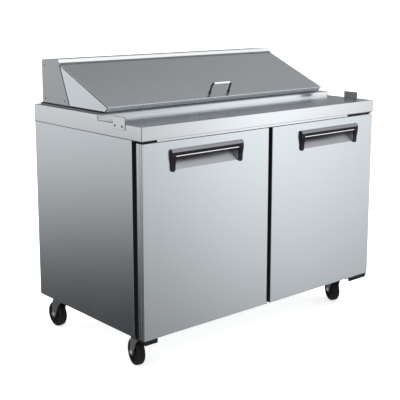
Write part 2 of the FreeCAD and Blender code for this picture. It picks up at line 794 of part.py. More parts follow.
def fan(centre, radius):
    """Four-bladed fan turning about Y on a shaft."""
    x, y, z = centre
    hub = rod((x, y - 8.0, z), (x, y + 8.0, z), 18.0)
    blades = []
    for k in range(4):
        blade = box(x - 16.0, x + 16.0, y - 1.2, y + 1.2, z + 14.0, z + radius)
        blade.rotate(V(x, y, z), V(0, 0, 1), 22.0)
        blade.rotate(V(x, y, z), V(0, 1, 0), 90.0 * k)
        blades.append(blade)
    bore = rod((x, y - 10.0, z), (x, y + 10.0, z), FAN_SHAFT_R + RUN)
    return fuse([hub] + blades).cut(bore)


def compressor():
    """Hermetic compressor: domed shell on feet, with its suction stub."""
    x, y = 260.0, 575.0
    shell = rod((x, y, 176.0), (x, y, 366.0), 82.0)
    rims = [e for e in shell.Edges if e.Length > 2 * math.pi * 82.0 - 1.0]
    shell = shell.makeFillet(34.0, rims)
    foot = box(x - 95.0, x + 95.0, y - 70.0, y + 70.0, 168.0, 178.0)
    corners = [(x + sx * 84.0, y + sy * 58.0) for sx in (-1, 1) for sy in (-1, 1)]
    mounts = [rod((cx, cy, BASE_Z + SHEET), (cx, cy, 168.0), 12.0) for cx, cy in corners]
    stub = rod((x - 60.0, y, 300.0), (x - 120.0, y, 300.0), 6.0)
    return fuse([shell, foot, stub] + mounts)


def condenser():
    """Condenser coil block and, apart from it, the fan's shroud with motor and shaft."""
    x, y, z = CONDENSER_FAN
    coil = box(x - 130.0, x + 130.0, 490.0, 545.0, BASE_Z + SHEET, 420.0)
    plate = box(x - 130.0, x + 130.0, 560.0, 562.0, BASE_Z + SHEET, 420.0)
    plate = plate.cut(rod((x, 555.0, z), (x, 570.0, z), 96.0))
    ring = rod((x, 560.0, z), (x, 600.0, z), 98.0).cut(rod((x, 555.0, z), (x, 605.0, z), 96.0))
    motor = rod((x, 606.0, z), (x, 660.0, z), 34.0)
    shaft = rod((x, 575.0, z), (x, 608.0, z), FAN_SHAFT_R)
    arms = [
        box(x - 130.0, x + 130.0, 625.0, 629.0, z - 8.0, z + 8.0),
        box(x - 130.0, x - 126.0, 560.0, 629.0, z - 8.0, z + 8.0),
        box(x + 126.0, x + 130.0, 560.0, 629.0, z - 8.0, z + 8.0),
    ]
    return group([coil, fuse([plate, ring, motor, shaft] + arms)])


def evaporator():
    """Evaporator: an open-faced case on the rear wall with its coil and fan motor."""
    x, y, z = EVAPORATOR_FAN
    case = box(-190.0, 190.0, 585.0, REAR_WALL_Y, 560.0, 750.0)
    case = case.cut(box(-188.0, 188.0, 587.0, REAR_WALL_Y - 2.0, 562.0, 748.0))
    case = case.cut(rod((x, 580.0, z), (x, 590.0, z), 72.0))
    vents = []
    for k in range(7):
        for side in (-1, 1):
            cx = side * 132.0
            z0 = 585.0 + k * 20.0
            vents.append(box(cx - 40.0, cx + 40.0, 580.0, 590.0, z0, z0 + 9.0))
    case = case.cut(group(vents))
    motor = rod((x, 612.0, z), (x, REAR_WALL_Y - 1.0, z), 22.0)
    shaft = rod((x, 590.0, z), (x, 614.0, z), FAN_SHAFT_R)
    coils = [box(sx * 132.0 - 45.0, sx * 132.0 + 45.0, 600.0, 640.0, 566.0, 744.0) for sx in (-1, 1)]
    return group([fuse([case, motor, shaft])] + coils)


def control_box():
    """Control box behind the grille, with the thermostat's shaft and the switch's opening."""
    back = DEPTH - SHEET - 0.3
    x, z = CONTROL_X, CONTROL_Z
    case = box(x - 75.0, x + 75.0, 600.0, back, z - 45.0, z + 45.0)
    hollow = box(x - 73.0, x + 73.0, 602.0, back - 2.0, z - 43.0, z + 43.0)
    shaft = rod((x - 35.0, back - 3.0, z), (x - 35.0, DEPTH + 9.0, z), 3.0)
    slot = box(x + 22.0, x + 48.0, back - 5.0, back + 5.0, z - 17.0, z + 17.0)
    pin = rod((x + 21.0, back - 1.0, z), (x + 49.0, back - 1.0, z), 1.5)
    return fuse([case.cut(hollow).cut(slot), shaft, pin])


def thermostat_knob():
    """Round knob with a pointer ridge, on the control box's shaft."""
    x, z = CONTROL_X - 35.0, CONTROL_Z
    y0, y1 = DEPTH + 1.0, DEPTH + 15.0
    knob = rod((x, y0, z), (x, y1, z), 18.0)
    rims = [e for e in knob.Edges if e.BoundBox.YMin > y1 - 0.01]
    knob = knob.makeFillet(2.0, rims)
    ridge = box(x - 2.5, x + 2.5, y1 - 1.0, y1 + 3.0, z - 15.0, z + 15.0)
    bore = rod((x, y0 - 1.0, z), (x, DEPTH + 10.0, z), 3.0 + RUN)
    return fuse([knob, ridge]).cut(bore)


def power_switch():
    """Rocker switch that tips on a cross pin."""
    x, z = CONTROL_X + 35.0, CONTROL_Z
    y = DEPTH - SHEET - 1.3
    outline = [
        (y - 4.0, z - 8.0),
        (y + 6.5, z - 14.0),
        (y + 4.6, z),
        (y + 6.5, z + 14.0),
        (y - 4.0, z + 8.0),
    ]
    rocker = prism_x(outline, x - 11.0, x + 11.0)
    bore = rod((x - 12.0, y, z), (x + 12.0, y, z), 1.5 + RUN)
    return rocker.cut(bore)


def cable_gland():
    """Round gland on the grille that the supply cable leaves by."""
    x, z = GLAND_X, GLAND_Z
    turns = [math.radians(60 * k) for k in range(7)]
    hexagon = [V(x + 14.0 * math.cos(a), DEPTH, z + 14.0 * math.sin(a)) for a in turns]
    nut = Part.Face(Part.makePolygon(hexagon)).extrude(V(0, 8.0, 0))
    end = DEPTH + GLAND_OUT
    neck = rod((x, DEPTH, z), (x, end, z), 9.0)
    bore = rod((x, DEPTH - 1.0, z), (x, end + 2.0, z), GLAND_BORE_R)
    return fuse([nut, neck]).cut(bore)


# ---------------------------------------------------------------- the whole table


def build():
    """Every node's shape by name, with Y = 0 on the worktop's front edge."""
    nodes = side_panels()
    nodes["base_pan"] = base_pan()
    nodes["back_panel"] = back_panel()
    nodes["rear_grille"] = rear_grille()
    nodes["worktop"] = worktop()
    nodes["deck_curb"] = deck_curb()
    nodes["insulation"] = insulation()
    nodes["inner_liner"] = inner_liner()
    nodes["mullion"] = mullion()
    nodes["door_frame"] = door_frame()
    nodes["pan_dividers"] = pan_dividers()
    nodes["ingredient_pans"] = group([one_pan(k) for k in range(PAN_COUNT)])
    nodes["shelf_left"] = shelf(-552.0, -40.0)
    nodes["shelf_right"] = mirror(nodes["shelf_left"])
    nodes["shelf_clips"] = shelf_clips()
    nodes["hood"] = hood()
    nodes["hood_insulation"] = hood_foam()
    nodes["lid_hinge_rod"] = lid_hinge_rod()
    nodes["lid_skin"] = lid_skin()
    nodes["lid_core"] = lid_slab(16.0, 322.0, HOOD_SHEET, 18.0, 3.0)
    nodes["lid_liner"] = lid_slab(16.0, 322.0, 18.0, 19.2, 3.0)
    nodes["lid_handle"] = lid_handle()
    nodes["board_bracket_left"] = board_bracket()
    nodes["board_bracket_right"] = mirror(nodes["board_bracket_left"])
    nodes["cover_screws"] = cover_screws()
    nodes["top_hinges"] = group([top_hinge(-1, TOP_HINGE_X[0]), top_hinge(1, TOP_HINGE_X[1])])
    low_x = BOTTOM_HINGE_X
    nodes["bottom_hinges"] = group([bottom_hinge(-1, low_x[0]), bottom_hinge(1, low_x[1])])
    nodes.update(door_parts("left", HANDLE_X[0]))
    nodes.update(door_parts("right", HANDLE_X[1]))
    nodes["caster_plates"] = caster_plates()
    for corner in CASTER_TURN:
        nodes[f"caster_fork_{corner}"] = place_caster(caster_fork(), corner)
        nodes[f"caster_wheel_{corner}"] = place_caster(caster_wheel(), corner)
    nodes["compressor"] = compressor()
    nodes["condenser"] = condenser()
    nodes["condenser_fan"] = fan(CONDENSER_FAN, 92.0)
    nodes["evaporator"] = evaporator()
    nodes["evaporator_fan"] = fan(EVAPORATOR_FAN, 68.0)
    nodes["control_box"] = control_box()
    nodes["thermostat_knob"] = thermostat_knob()
    nodes["power_switch"] = power_switch()
    nodes["cable_gland"] = cable_gland()
    return nodes


def main():
    """Writes one STEP file per node, with the origin under the middle of the table."""
    os.makedirs("parts", exist_ok=True)
    for name, shape in build().items():
        placed = shape.copy()
        placed.translate(V(0, -CENTRE_Y, 0))
        placed.exportStep(f"parts/{name}.step")


if __name__ == "__main__":
    main()
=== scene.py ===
"""Looks of the refrigerated sandwich prep table: materials, detailed pieces, floor, light and camera."""

import json
import math

import bmesh
import bpy
from mathutils import Matrix, Vector


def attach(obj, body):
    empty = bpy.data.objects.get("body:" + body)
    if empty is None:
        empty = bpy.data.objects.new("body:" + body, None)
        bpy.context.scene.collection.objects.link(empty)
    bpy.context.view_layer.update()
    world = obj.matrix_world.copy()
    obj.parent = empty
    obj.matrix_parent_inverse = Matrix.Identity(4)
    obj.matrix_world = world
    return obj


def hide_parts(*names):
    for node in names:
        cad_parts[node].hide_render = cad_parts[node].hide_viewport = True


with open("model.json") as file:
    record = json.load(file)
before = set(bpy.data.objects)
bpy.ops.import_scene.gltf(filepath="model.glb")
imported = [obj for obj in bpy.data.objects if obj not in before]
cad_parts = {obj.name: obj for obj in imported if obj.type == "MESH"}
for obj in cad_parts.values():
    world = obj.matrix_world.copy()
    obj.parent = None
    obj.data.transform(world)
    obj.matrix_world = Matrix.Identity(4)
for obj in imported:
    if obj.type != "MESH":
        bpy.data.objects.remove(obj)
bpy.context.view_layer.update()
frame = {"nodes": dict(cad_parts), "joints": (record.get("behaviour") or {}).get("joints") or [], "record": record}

NODES = frame["nodes"]


# ---------------------------------------------------------------- node helpers


def new_material(name):
    """An empty node material with its Principled shader and its output."""
    mat = bpy.data.materials.new(name)
    mat.use_nodes = True
    tree = mat.node_tree
    tree.nodes.clear()
    out = tree.nodes.new("ShaderNodeOutputMaterial")
    shader = tree.nodes.new("ShaderNodeBsdfPrincipled")
    tree.links.new(shader.outputs["BSDF"], out.inputs["Surface"])
    return mat, tree, shader


def object_coords(tree, scale=(1.0, 1.0, 1.0)):
    """Object coordinates, stretched by a scale on each axis."""
    coords = tree.nodes.new("ShaderNodeTexCoord")
    mapping = tree.nodes.new("ShaderNodeMapping")
    mapping.inputs["Scale"].default_value = scale
    tree.links.new(coords.outputs["Object"], mapping.inputs["Vector"])
    return mapping.outputs["Vector"]


def noise(tree, scale, detail=4.0, stretch=(1.0, 1.0, 1.0), rough=0.5):
    """Noise in object space."""
    node = tree.nodes.new("ShaderNodeTexNoise")
    node.inputs["Scale"].default_value = scale
    node.inputs["Detail"].default_value = detail
    node.inputs["Roughness"].default_value = rough
    tree.links.new(object_coords(tree, stretch), node.inputs["Vector"])
    return node.outputs["Fac"]


def ramp(tree, value, stops):
    """A colour ramp from (position, grey or colour) stops."""
    node = tree.nodes.new("ShaderNodeValToRGB")
    elements = node.color_ramp.elements
    while len(elements) < len(stops):
        elements.new(0.5)
    for element, (position, colour) in zip(elements, stops):
        element.position = position
        rgb = colour if hasattr(colour, "__len__") else (colour,) * 3
        element.color = (*rgb, 1.0)
    tree.links.new(value, node.inputs["Fac"])
    return node.outputs["Color"]


NOISE_LOW, NOISE_HIGH = 0.3, 0.7  # nearly all noise falls between these


def remap(tree, value, low, high):
    """A noise value moved to the range low to high."""
    node = tree.nodes.new("ShaderNodeMapRange")
    node.inputs["From Min"].default_value = NOISE_LOW
    node.inputs["From Max"].default_value = NOISE_HIGH
    node.inputs["To Min"].default_value = low
    node.inputs["To Max"].default_value = high
    tree.links.new(value, node.inputs["Value"])
    return node.outputs["Result"]


def bump(tree, shader, height, strength, distance):
    """Bump on the shader from a height value."""
    node = tree.nodes.new("ShaderNodeBump")
    node.inputs["Strength"].default_value = strength
    node.inputs["Distance"].default_value = distance
    tree.links.new(height, node.inputs["Height"])
    tree.links.new(node.outputs["Normal"], shader.inputs["Normal"])


def mix_colour(tree, factor, a, b):
    """Two colours mixed by a factor."""
    node = tree.nodes.new("ShaderNodeMix")
    node.data_type = "RGBA"
    tree.links.new(factor, node.inputs["Factor"])
    for socket, value in ((node.inputs[6], a), (node.inputs[7], b)):
        if hasattr(value, "is_output"):
            tree.links.new(value, socket)
        else:
            socket.default_value = (*value, 1.0)
    return node.outputs[2]


def maths(tree, operation, *values):
    """One maths node on up to three values."""
    node = tree.nodes.new("ShaderNodeMath")
    node.operation = operation
    for socket, value in zip(node.inputs, values):
        if hasattr(value, "is_output"):
            tree.links.new(value, socket)
        else:
            socket.default_value = value
    return node.outputs["Value"]


# ---------------------------------------------------------------- materials


# Brushing: noise squeezed across the grain, so that its lines run along one axis.
GRAIN = 260.0
ALONG_X = (1.0, GRAIN, GRAIN)
ALONG_Z = (GRAIN, GRAIN, 1.0)
TALL = (1.0, 1.0, 0.25)  # wipe marks are drawn out up and down
BRUSH_DEPTH = 0.0002  # metres
CLOUD_DIP = 0.955  # the sheet's darkest clouds, against its colour
BRUSH_LIFT = 1.03  # its brightest brushing lines
WIPE_SPREAD = 0.03  # how far wipe marks change the roughness
PEEL_DEPTH = 0.0003  # orange peel of paint, in metres
PAINT_LIFT = 1.35  # the brightest paint, against its colour
FIN_GAP_SHADE = 0.18  # the painted shade between fins, against their colour
FIN_DEPTH = 0.001  # metres


def brushed_steel(name, colour, rough, grain=ALONG_Z, depth=0.05):
    """Satin stainless sheet: fine brushing lines, cloudy tone, faint wipe marks."""
    mat, tree, shader = new_material(name)
    lines = noise(tree, 7.0, detail=4.0, stretch=grain, rough=0.55)
    cloud = noise(tree, 2.6, detail=3.0)
    wipes = noise(tree, 11.0, detail=5.0, stretch=TALL, rough=0.6)
    dark = tuple(c * CLOUD_DIP for c in colour)
    light = tuple(min(1.0, c * BRUSH_LIFT) for c in colour)
    tone = mix_colour(tree, cloud, dark, colour)
    tree.links.new(mix_colour(tree, lines, tone, light), shader.inputs["Base Color"])
    shader.inputs["Metallic"].default_value = 1.0
    worn = maths(tree, "MULTIPLY_ADD", wipes, WIPE_SPREAD, rough - WIPE_SPREAD / 2)
    tree.links.new(worn, shader.inputs["Roughness"])
    bump(tree, shader, lines, depth, BRUSH_DEPTH)
    return mat


def painted(name, colour, rough, speckle=0.15, metallic=0.0, gloss=0.5):
    """Paint, plating or moulded plastic with a fine orange-peel texture."""
    mat, tree, shader = new_material(name)
    shader.inputs["Specular IOR Level"].default_value = gloss
    fine = noise(tree, GRAIN, detail=4.0)
    broad = noise(tree, 9.0, detail=3.0)
    light = tuple(min(1.0, c * PAINT_LIFT + 0.004) for c in colour)
    tree.links.new(mix_colour(tree, broad, colour, light), shader.inputs["Base Color"])
    shader.inputs["Metallic"].default_value = metallic
    tree.links.new(remap(tree, broad, rough - 0.05, rough + 0.08), shader.inputs["Roughness"])
    bump(tree, shader, fine, speckle, PEEL_DEPTH)
    return mat


def finned(name, colour):
    """Coil block of thin upright fins, with painted shade in the gaps between them."""
    mat, tree, shader = new_material(name)
    wave = tree.nodes.new("ShaderNodeTexWave")
    wave.bands_direction = "X"
    wave.inputs["Scale"].default_value = 130.0
    wave.inputs["Distortion"].default_value = 0.4
    tree.links.new(object_coords(tree), wave.inputs["Vector"])
    # painted shade in the gaps between the fins
    dark = tuple(c * FIN_GAP_SHADE for c in colour)
    tree.links.new(mix_colour(tree, wave.outputs["Fac"], dark, colour), shader.inputs["Base Color"])
    shader.inputs["Metallic"].default_value = 0.9
    tree.links.new(remap(tree, noise(tree, 40.0), 0.32, 0.5), shader.inputs["Roughness"])
    bump(tree, shader, wave.outputs["Fac"], 0.5, FIN_DEPTH)
    return mat


def make_materials():
    """A material for every slot that the record names."""
    return {
        "stainless_panel": brushed_steel("stainless_panel", (0.665, 0.71, 0.74), 0.23),
        "stainless_top": brushed_steel("stainless_top", (0.675, 0.705, 0.73), 0.19, ALONG_X, 0.03),
        # Steel drawn much darker than the door's: painted shade of the handle's recess.
        "pocket_steel": brushed_steel("pocket_steel", (0.36, 0.37, 0.39), 0.36, ALONG_X),
        "zinc_sheet": painted("zinc_sheet", (0.52, 0.54, 0.55), 0.42, 0.1, 0.85),
        "foam": painted("foam", (0.80, 0.74, 0.52), 0.9, 0.5),
        "liner_aluminium": brushed_steel("liner_aluminium", (0.78, 0.79, 0.80), 0.38),
        "black_plastic": painted("black_plastic", (0.008, 0.008, 0.009), 0.42, gloss=0.15),
        "handle_black": painted("handle_black", (0.006, 0.006, 0.007), 0.22, 0.04, gloss=0.14),
        "gasket_rubber": painted("gasket_rubber", (0.005, 0.005, 0.006), 0.6, 0.3, gloss=0.15),
        "pan_steel": brushed_steel("pan_steel", (0.72, 0.73, 0.74), 0.22, ALONG_X),
        "shelf_coating": painted("shelf_coating", (0.75, 0.76, 0.77), 0.35),
        "bright_steel": brushed_steel("bright_steel", (0.62, 0.63, 0.64), 0.25),
        # Chrome drawn darker than bright chrome, as painted shade.
        "lid_handle_chrome": brushed_steel("lid_handle_chrome", (0.30, 0.31, 0.32), 0.13, ALONG_X, 0.01),
        "hinge_black": painted("hinge_black", (0.007, 0.007, 0.008), 0.4, gloss=0.12),
        "caster_zinc": painted("caster_zinc", (0.10, 0.103, 0.108), 0.35, 0.1, 0.7),
        "wheel_rubber": painted("wheel_rubber", (0.006, 0.006, 0.007), 0.5, 0.3, gloss=0.1),
        "compressor_black": painted("compressor_black", (0.015, 0.015, 0.017), 0.35),
        "coil_aluminium": finned("coil_aluminium", (0.66, 0.67, 0.68)),
        "fan_plastic": painted("fan_plastic", (0.03, 0.03, 0.034), 0.45),
        "knob_plastic": painted("knob_plastic", (0.02, 0.02, 0.023), 0.35),
    }


def make_looks():
    """Materials of pieces whose look differs from that of their slot."""
    return {
        # Darker copy of the panel steel on the hood's ends: painted shade.
        "hood_end_painted_shade": brushed_steel("hood_end_painted_shade", (0.405, 0.425, 0.445), 0.3),
        # Dark steel: painted shade on the curb and on the lid's hinge curl.
        "dark_steel_painted_shade": brushed_steel("dark_steel_painted_shade", (0.17, 0.18, 0.19), 0.3, ALONG_X),
        # Darker copy of the panel steel on the lid, and a lighter one on the hood's top: painted shade and painted
        # light.
        "lid_sheet_painted_shade": brushed_steel("lid_sheet_painted_shade", (0.56, 0.60, 0.625), 0.27, ALONG_X, 0.05),
        "hood_sheet_painted_light": brushed_steel("hood_sheet_painted_light", (0.80, 0.82, 0.83), 0.25, ALONG_X, 0.03),
        # Lighter grey paint on the lid's steel nose: a painted sheen.
        "nose_painted_sheen": painted("nose_painted_sheen", (0.46, 0.48, 0.50), 0.5, 0.1, 0.2),
        # Grey metallic coat over the handle's black hood top: a painted reflection.
        "handle_cap_painted_sheen": painted("handle_cap_painted_sheen", (0.21, 0.21, 0.225), 0.3, 0.05, 0.9),
        # Near-white strip along the handle's lip: a painted highlight.
        "bead_painted_highlight": painted("bead_painted_highlight", (0.93, 0.93, 0.95), 0.3, 0.02, 0.9),
        # Dark and bright copies of the pull's chrome: painted shade on its posts, a painted highlight on its bar.
        "pull_painted_shade": painted("pull_painted_shade", (0.035, 0.036, 0.04), 0.16, 0.02, 0.9),
        "pull_painted_highlight": brushed_steel("pull_painted_highlight", (0.86, 0.87, 0.88), 0.12, ALONG_X, 0.01),
        # Dark grey: painted shade round the board brackets.
        "pad_painted_shade_grey": painted("pad_painted_shade_grey", (0.13, 0.132, 0.136), 0.45, 0.2, 0.3, 0.2),
        # Near-black for painted shade lines in grooves, gaps and under edges, and for corner seams and the domed
        # screw heads.
        "shade_seam_and_screw_grey": painted("shade_seam_and_screw_grey", (0.05, 0.052, 0.056), 0.5, 0.2, gloss=0.2),
    }


MATERIALS = {**make_materials(), **make_looks()}


# ---------------------------------------------------------------- carried-over CAD nodes


WELD = 0.00002  # points nearer than this are joined, in metres
CREASE = 35.0  # edges that turn by more than this are rounded, in degrees


def dress_node(node, material, width, segments):
    """Gives a CAD node its material and softly rounded edges."""
    obj = NODES[node]
    obj.data.materials.clear()
    obj.data.materials.append(material)
    weld = obj.modifiers.new("weld", "WELD")
    weld.merge_threshold = WELD
    bevel = obj.modifiers.new("bevel", "BEVEL")
    bevel.width = width
    bevel.segments = segments
    bevel.limit_method = "ANGLE"
    bevel.angle_limit = math.radians(CREASE)
    bevel.use_clamp_overlap = True
    for polygon in obj.data.polygons:
        polygon.use_smooth = True
    normals = obj.modifiers.new("normals", "WEIGHTED_NORMAL")
    normals.keep_sharp = True


EDGE = 0.0003  # rounding of a plain sheet's edge, in metres
ROUNDING = {"worktop": (0.0024, 3), "deck_curb": (0.0008, 2), "ingredient_pans": (0.0005, 2)}

for entry in frame["record"]["subparts"]:
    rounding = ROUNDING.get(entry["node"], (EDGE, 2))
    dress_node(entry["node"], MATERIALS[entry["material_slot"]], *rounding)
# The curb's steel is drawn dark: painted shade under the hood and the lid.
NODES["deck_curb"].data.materials[0] = MATERIALS["dark_steel_painted_shade"]


# ---------------------------------------------------------------- mesh helpers

# Pieces are built in millimetres with Y = 0 on the worktop's front edge, as the CAD is.
CENTRE_Y = 361.5  # the frame's origin, from the worktop's front edge
MM = 1000.0  # millimetres in a metre


def add_piece(name, bm, body, slot, replaced=(), bevel=0.0, segments=2, angle=CREASE, look=None):
    """Turns a bmesh into a piece on a body, with rounded edges and its slot's material."""
    bmesh.ops.recalc_face_normals(bm, faces=bm.faces)
    for vert in bm.verts:
        vert.co = Vector((vert.co.x, vert.co.y - CENTRE_Y, vert.co.z)) / MM
    mesh = bpy.data.meshes.new(name)
    bm.to_mesh(mesh)
    bm.free()
    obj = bpy.data.objects.new(name, mesh)
    bpy.context.scene.collection.objects.link(obj)
    mesh.materials.append(MATERIALS[look or slot])
    for polygon in mesh.polygons:
        polygon.use_smooth = True
    if bevel:
        rounding = obj.modifiers.new("bevel", "BEVEL")
        rounding.width = bevel / MM
        rounding.segments = segments
        rounding.limit_method = "ANGLE"
        rounding.angle_limit = math.radians(angle)
    normals = obj.modifiers.new("normals", "WEIGHTED_NORMAL")
    normals.keep_sharp = True
    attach(obj, body)
    if replaced:
        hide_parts(*replaced)
    return obj


def add_box(bm, low, high):
    """A block between two corners."""
    made = bmesh.ops.create_cube(bm, size=1.0)["verts"]
    size = Vector(high) - Vector(low)
    middle = (Vector(high) + Vector(low)) / 2
    for vert in made:
        vert.co = Vector(c * s for c, s in zip(vert.co, size)) + middle
    return made


def add_prism(bm, outline, start, end, place=None):
    """An outline drawn out along an axis: place maps (u, v, along) to a point."""
    place = place or (lambda u, v, along: (along, u, v))
    near = [bm.verts.new(place(u, v, start)) for u, v in outline]
    far = [bm.verts.new(place(u, v, end)) for u, v in outline]
    count = len(outline)
    bm.faces.new(near)
    bm.faces.new(far[::-1])
    for i in range(count):
        j = (i + 1) % count
        bm.faces.new((near[j], near[i], far[i], far[j]))
    return near + far


def join_rings(bm, low, high):
    """Faces between two rings of points, either of which may be a single point."""
    count = max(len(low), len(high))
    for k in range(count):
        m = (k + 1) % count
        if len(low) == 1:
            bm.faces.new((low[0], high[k], high[m]))
        elif len(high) == 1:
            bm.faces.new((low[m], low[k], high[0]))
        else:
            bm.faces.new((low[m], low[k], high[k], high[m]))


def add_lathe(bm, profile, origin, axis, steps=48):
    """A (distance along the axis, radius) profile turned about an axis."""
    axis = Vector(axis).normalized()
    turn = axis.to_track_quat("Z", "X").to_matrix()
    rings = []
    for along, radius in profile:
        ring = []
        for k in range(steps if radius > 0 else 1):
            a = 2 * math.pi * k / steps
            local = Vector((radius * math.cos(a), radius * math.sin(a), along))
            ring.append(bm.verts.new(Vector(origin) + turn @ local))
        rings.append(ring)
    for low, high in zip(rings, rings[1:]):
        join_rings(bm, low, high)
    return [vert for ring in rings for vert in ring]


def arc_points(centre, radius, start, end, steps):
    """Points on an arc in a plane, angles in degrees."""
    cu, cv = centre
    found = []
    for k in range(steps + 1):
        a = math.radians(start + (end - start) * k / steps)
        found.append((cu + radius * math.cos(a), cv + radius * math.sin(a)))
    return found


def add_frame_loft(bm, rows, x0, x1, z0, z1, closed=False):
    """Rectangular rings round a door: each row is (Y, inset from the door's outline)."""
    rings = []
    for y, inset in rows:
        a, b, c, d = x0 + inset, x1 - inset, z0 + inset, z1 - inset
        rings.append([bm.verts.new(p) for p in ((a, y, c), (b, y, c), (b, y, d), (a, y, d))])
    pairs = list(zip(rings, rings[1:]))
    if closed:
        pairs.append((rings[-1], rings[0]))
    for low, high in pairs:
        join_rings(bm, low, high)
    return rings


# ---------------------------------------------------------------- doors

DOOR_X = {"left": (-607.3, -10.0), "right": (10.0, 607.3)}
DOOR_Y = (1.0, 37.0)
DOOR_Z = (151.5, 849.0)
DOOR_EDGE_R = 2.4
DOOR_BAND = 12.0  # how far the skin is folded in over the door's back
HANDLE_HALF = 169.0
HANDLE_MIDDLE = {"left": -320.0, "right": 332.0}
HANDLE_FOOT_Z = 740.0
LEG_W = 19.0
LEG_OUT = 4.6  # how far the foot of a leg stands out from the table's front
LEG_JOIN_Z = 752.0  # where a leg's foot runs into its upper part
HOOD_SET = 2.0  # the handle's hood and its cap end this far short of the handle's ends
CAP_SET = 0.8
SCOOP_HALF = HANDLE_HALF - LEG_W + 3.0
SCOOP_Z = (743.0, 812.0)
SCOOP_SIDE = 1.3  # the skin's hole is this much smaller than the pocket, each side
SCOOP_SILL = 3.7  # and its lower edge is this much higher
SCOOP_LIP = 3.0
GASKET_BACK = 59.7
GASKET_W = 24.0
PLEATS = 4
PLEAT_PITCH = 5.0
PLEAT_IN = 2.6
OUTER_SET, INNER_SET = 10.3, 3.0  # from the door's hinge edge, and from its other edges
HEM_AT = (7.0, 17.5)  # dark hem lines round a door's edge, from its front: grooves with painted shade strips in them
HEM_W = 2.2
HEM_DEEP = 0.7


def door_panel(side):
    """Door skin: a folded front pan with rounded edges, a groove and the inner band."""
    bm = bmesh.new()
    (x0, x1), (y0, y1), (z0, z1) = DOOR_X[side], DOOR_Y, DOOR_Z
    r = DOOR_EDGE_R
    turns = (0, 0.4, 0.8, 1.2, math.pi / 2)
    rows = [(y0 + r - r * math.cos(t), r - r * math.sin(t)) for t in turns]
    for start in HEM_AT:
        end = start + HEM_W
        rows += [(start, 0.0), (start, HEM_DEEP), (end, HEM_DEEP), (end, 0.0)]
    rows += [(y1, 0.0), (y1, DOOR_BAND)]
    rings = add_frame_loft(bm, rows, x0, x1, z0, z1)
    front = rings[0]
    middle = HANDLE_MIDDLE[side]
    a, b = middle - SCOOP_HALF + SCOOP_SIDE, middle + SCOOP_HALF - SCOOP_SIDE
    low, high = SCOOP_Z[0] + SCOOP_SILL, SCOOP_Z[1]
    hole = [bm.verts.new(p) for p in ((a, y0, low), (b, y0, low), (b, y0, high), (a, y0, high))]
    lip = [bm.verts.new((v.co.x, y0 + SCOOP_LIP, v.co.z)) for v in hole]
    join_rings(bm, front, hole)
    join_rings(bm, hole, lip)
    name = f"{side}_door_panel"
    add_piece(name, bm, f"{side}_door", "stainless_panel", (f"{side}_door_skin",), 0.25)
    # Dark strips down in the hem grooves: painted shade.
    bm = bmesh.new()
    top, foot = 0.3, 0.95  # depths of the dark strip in the groove, drawn as painted shade
    for start in HEM_AT:
        near, far = start + 0.1, start + HEM_W - 0.1
        hem = [(near, top), (far, top), (far, foot), (near, foot)]
        add_frame_loft(bm, hem, x0, x1, z0, z1, closed=True)
    add_piece(f"{side}_door_hem_shade_lines", bm, f"{side}_door", "gasket_rubber", (), 0.0, look="shade_seam_and_screw_grey")


def bellows_gasket(side):
    """Magnetic gasket with pleated outer sides."""
    bm = bmesh.new()
    (x0, x1), (z0, z1) = DOOR_X[side], DOOR_Z
    low, high = (OUTER_SET, INNER_SET) if side == "left" else (INNER_SET, OUTER_SET)
    face = DOOR_Y[1]
    rows = [(face, 0.0)]
    for k in range(PLEATS):
        rows.append((face + PLEAT_PITCH * (k + 0.5), PLEAT_IN))
        rows.append((face + PLEAT_PITCH * (k + 1), 0.2))
    rows += [(GASKET_BACK, 0.2), (GASKET_BACK, GASKET_W), (face, GASKET_W)]
    add_frame_loft(bm, rows, x0 + low, x1 - high, z0 + INNER_SET, z1 - INNER_SET, closed=True)
    replaced = (f"{side}_door_gasket",)
    add_piece(f"{side}_door_bellows", bm, f"{side}_door", "gasket_rubber", replaced, 0.5)


# Outlines of the handle as (Y, Z): its rolled hood, the cap over it, the bead and a leg.
HANDLE_HOOD = [
    (1.0, 820.0), (-2.5, 819.6), (-6.0, 818.0), (-8.8, 815.2), (-10.4, 811.4), (-10.9, 807.4),
    (-10.4, 803.6), (-9.2, 801.0), (-8.3, 799.4), (-8.7, 797.8), (-10.0, 796.8), (-10.9, 795.4),
    (-11.0, 793.6), (-10.6, 791.8), (-9.4, 790.2), (-7.6, 789.4), (-6.2, 790.4), (-6.0, 792.0),
    (-6.0, 806.0), (-4.0, 809.4), (1.0, 810.4),
]
HANDLE_CAP = [
    (0.95, 820.0), (-2.55, 819.9), (-6.2, 818.3), (-9.0, 815.4), (-10.6, 811.5), (-10.95, 808.6),
    (-10.4, 808.6), (-9.9, 811.2), (-8.4, 814.8), (-5.7, 817.5), (-2.4, 819.1), (0.95, 819.4),
]
HANDLE_BEAD = [
    (-9.6, 797.4), (-10.6, 796.6), (-10.98, 795.2), (-10.9, 793.4), (-10.3, 792.6), (-9.6, 793.4),
]
LEG_SIDE = [
    (1.0, 819.2), (-2.5, 818.9), (-5.7, 817.2), (-8.3, 814.3), (-9.9, 810.8), (-10.6, 806.0),
    (-10.8, 794.0), (-9.6, 786.0), (-7.0, 775.0), (-5.2, 764.0), (-4.6, 750.0), (1.0, 750.0),
]


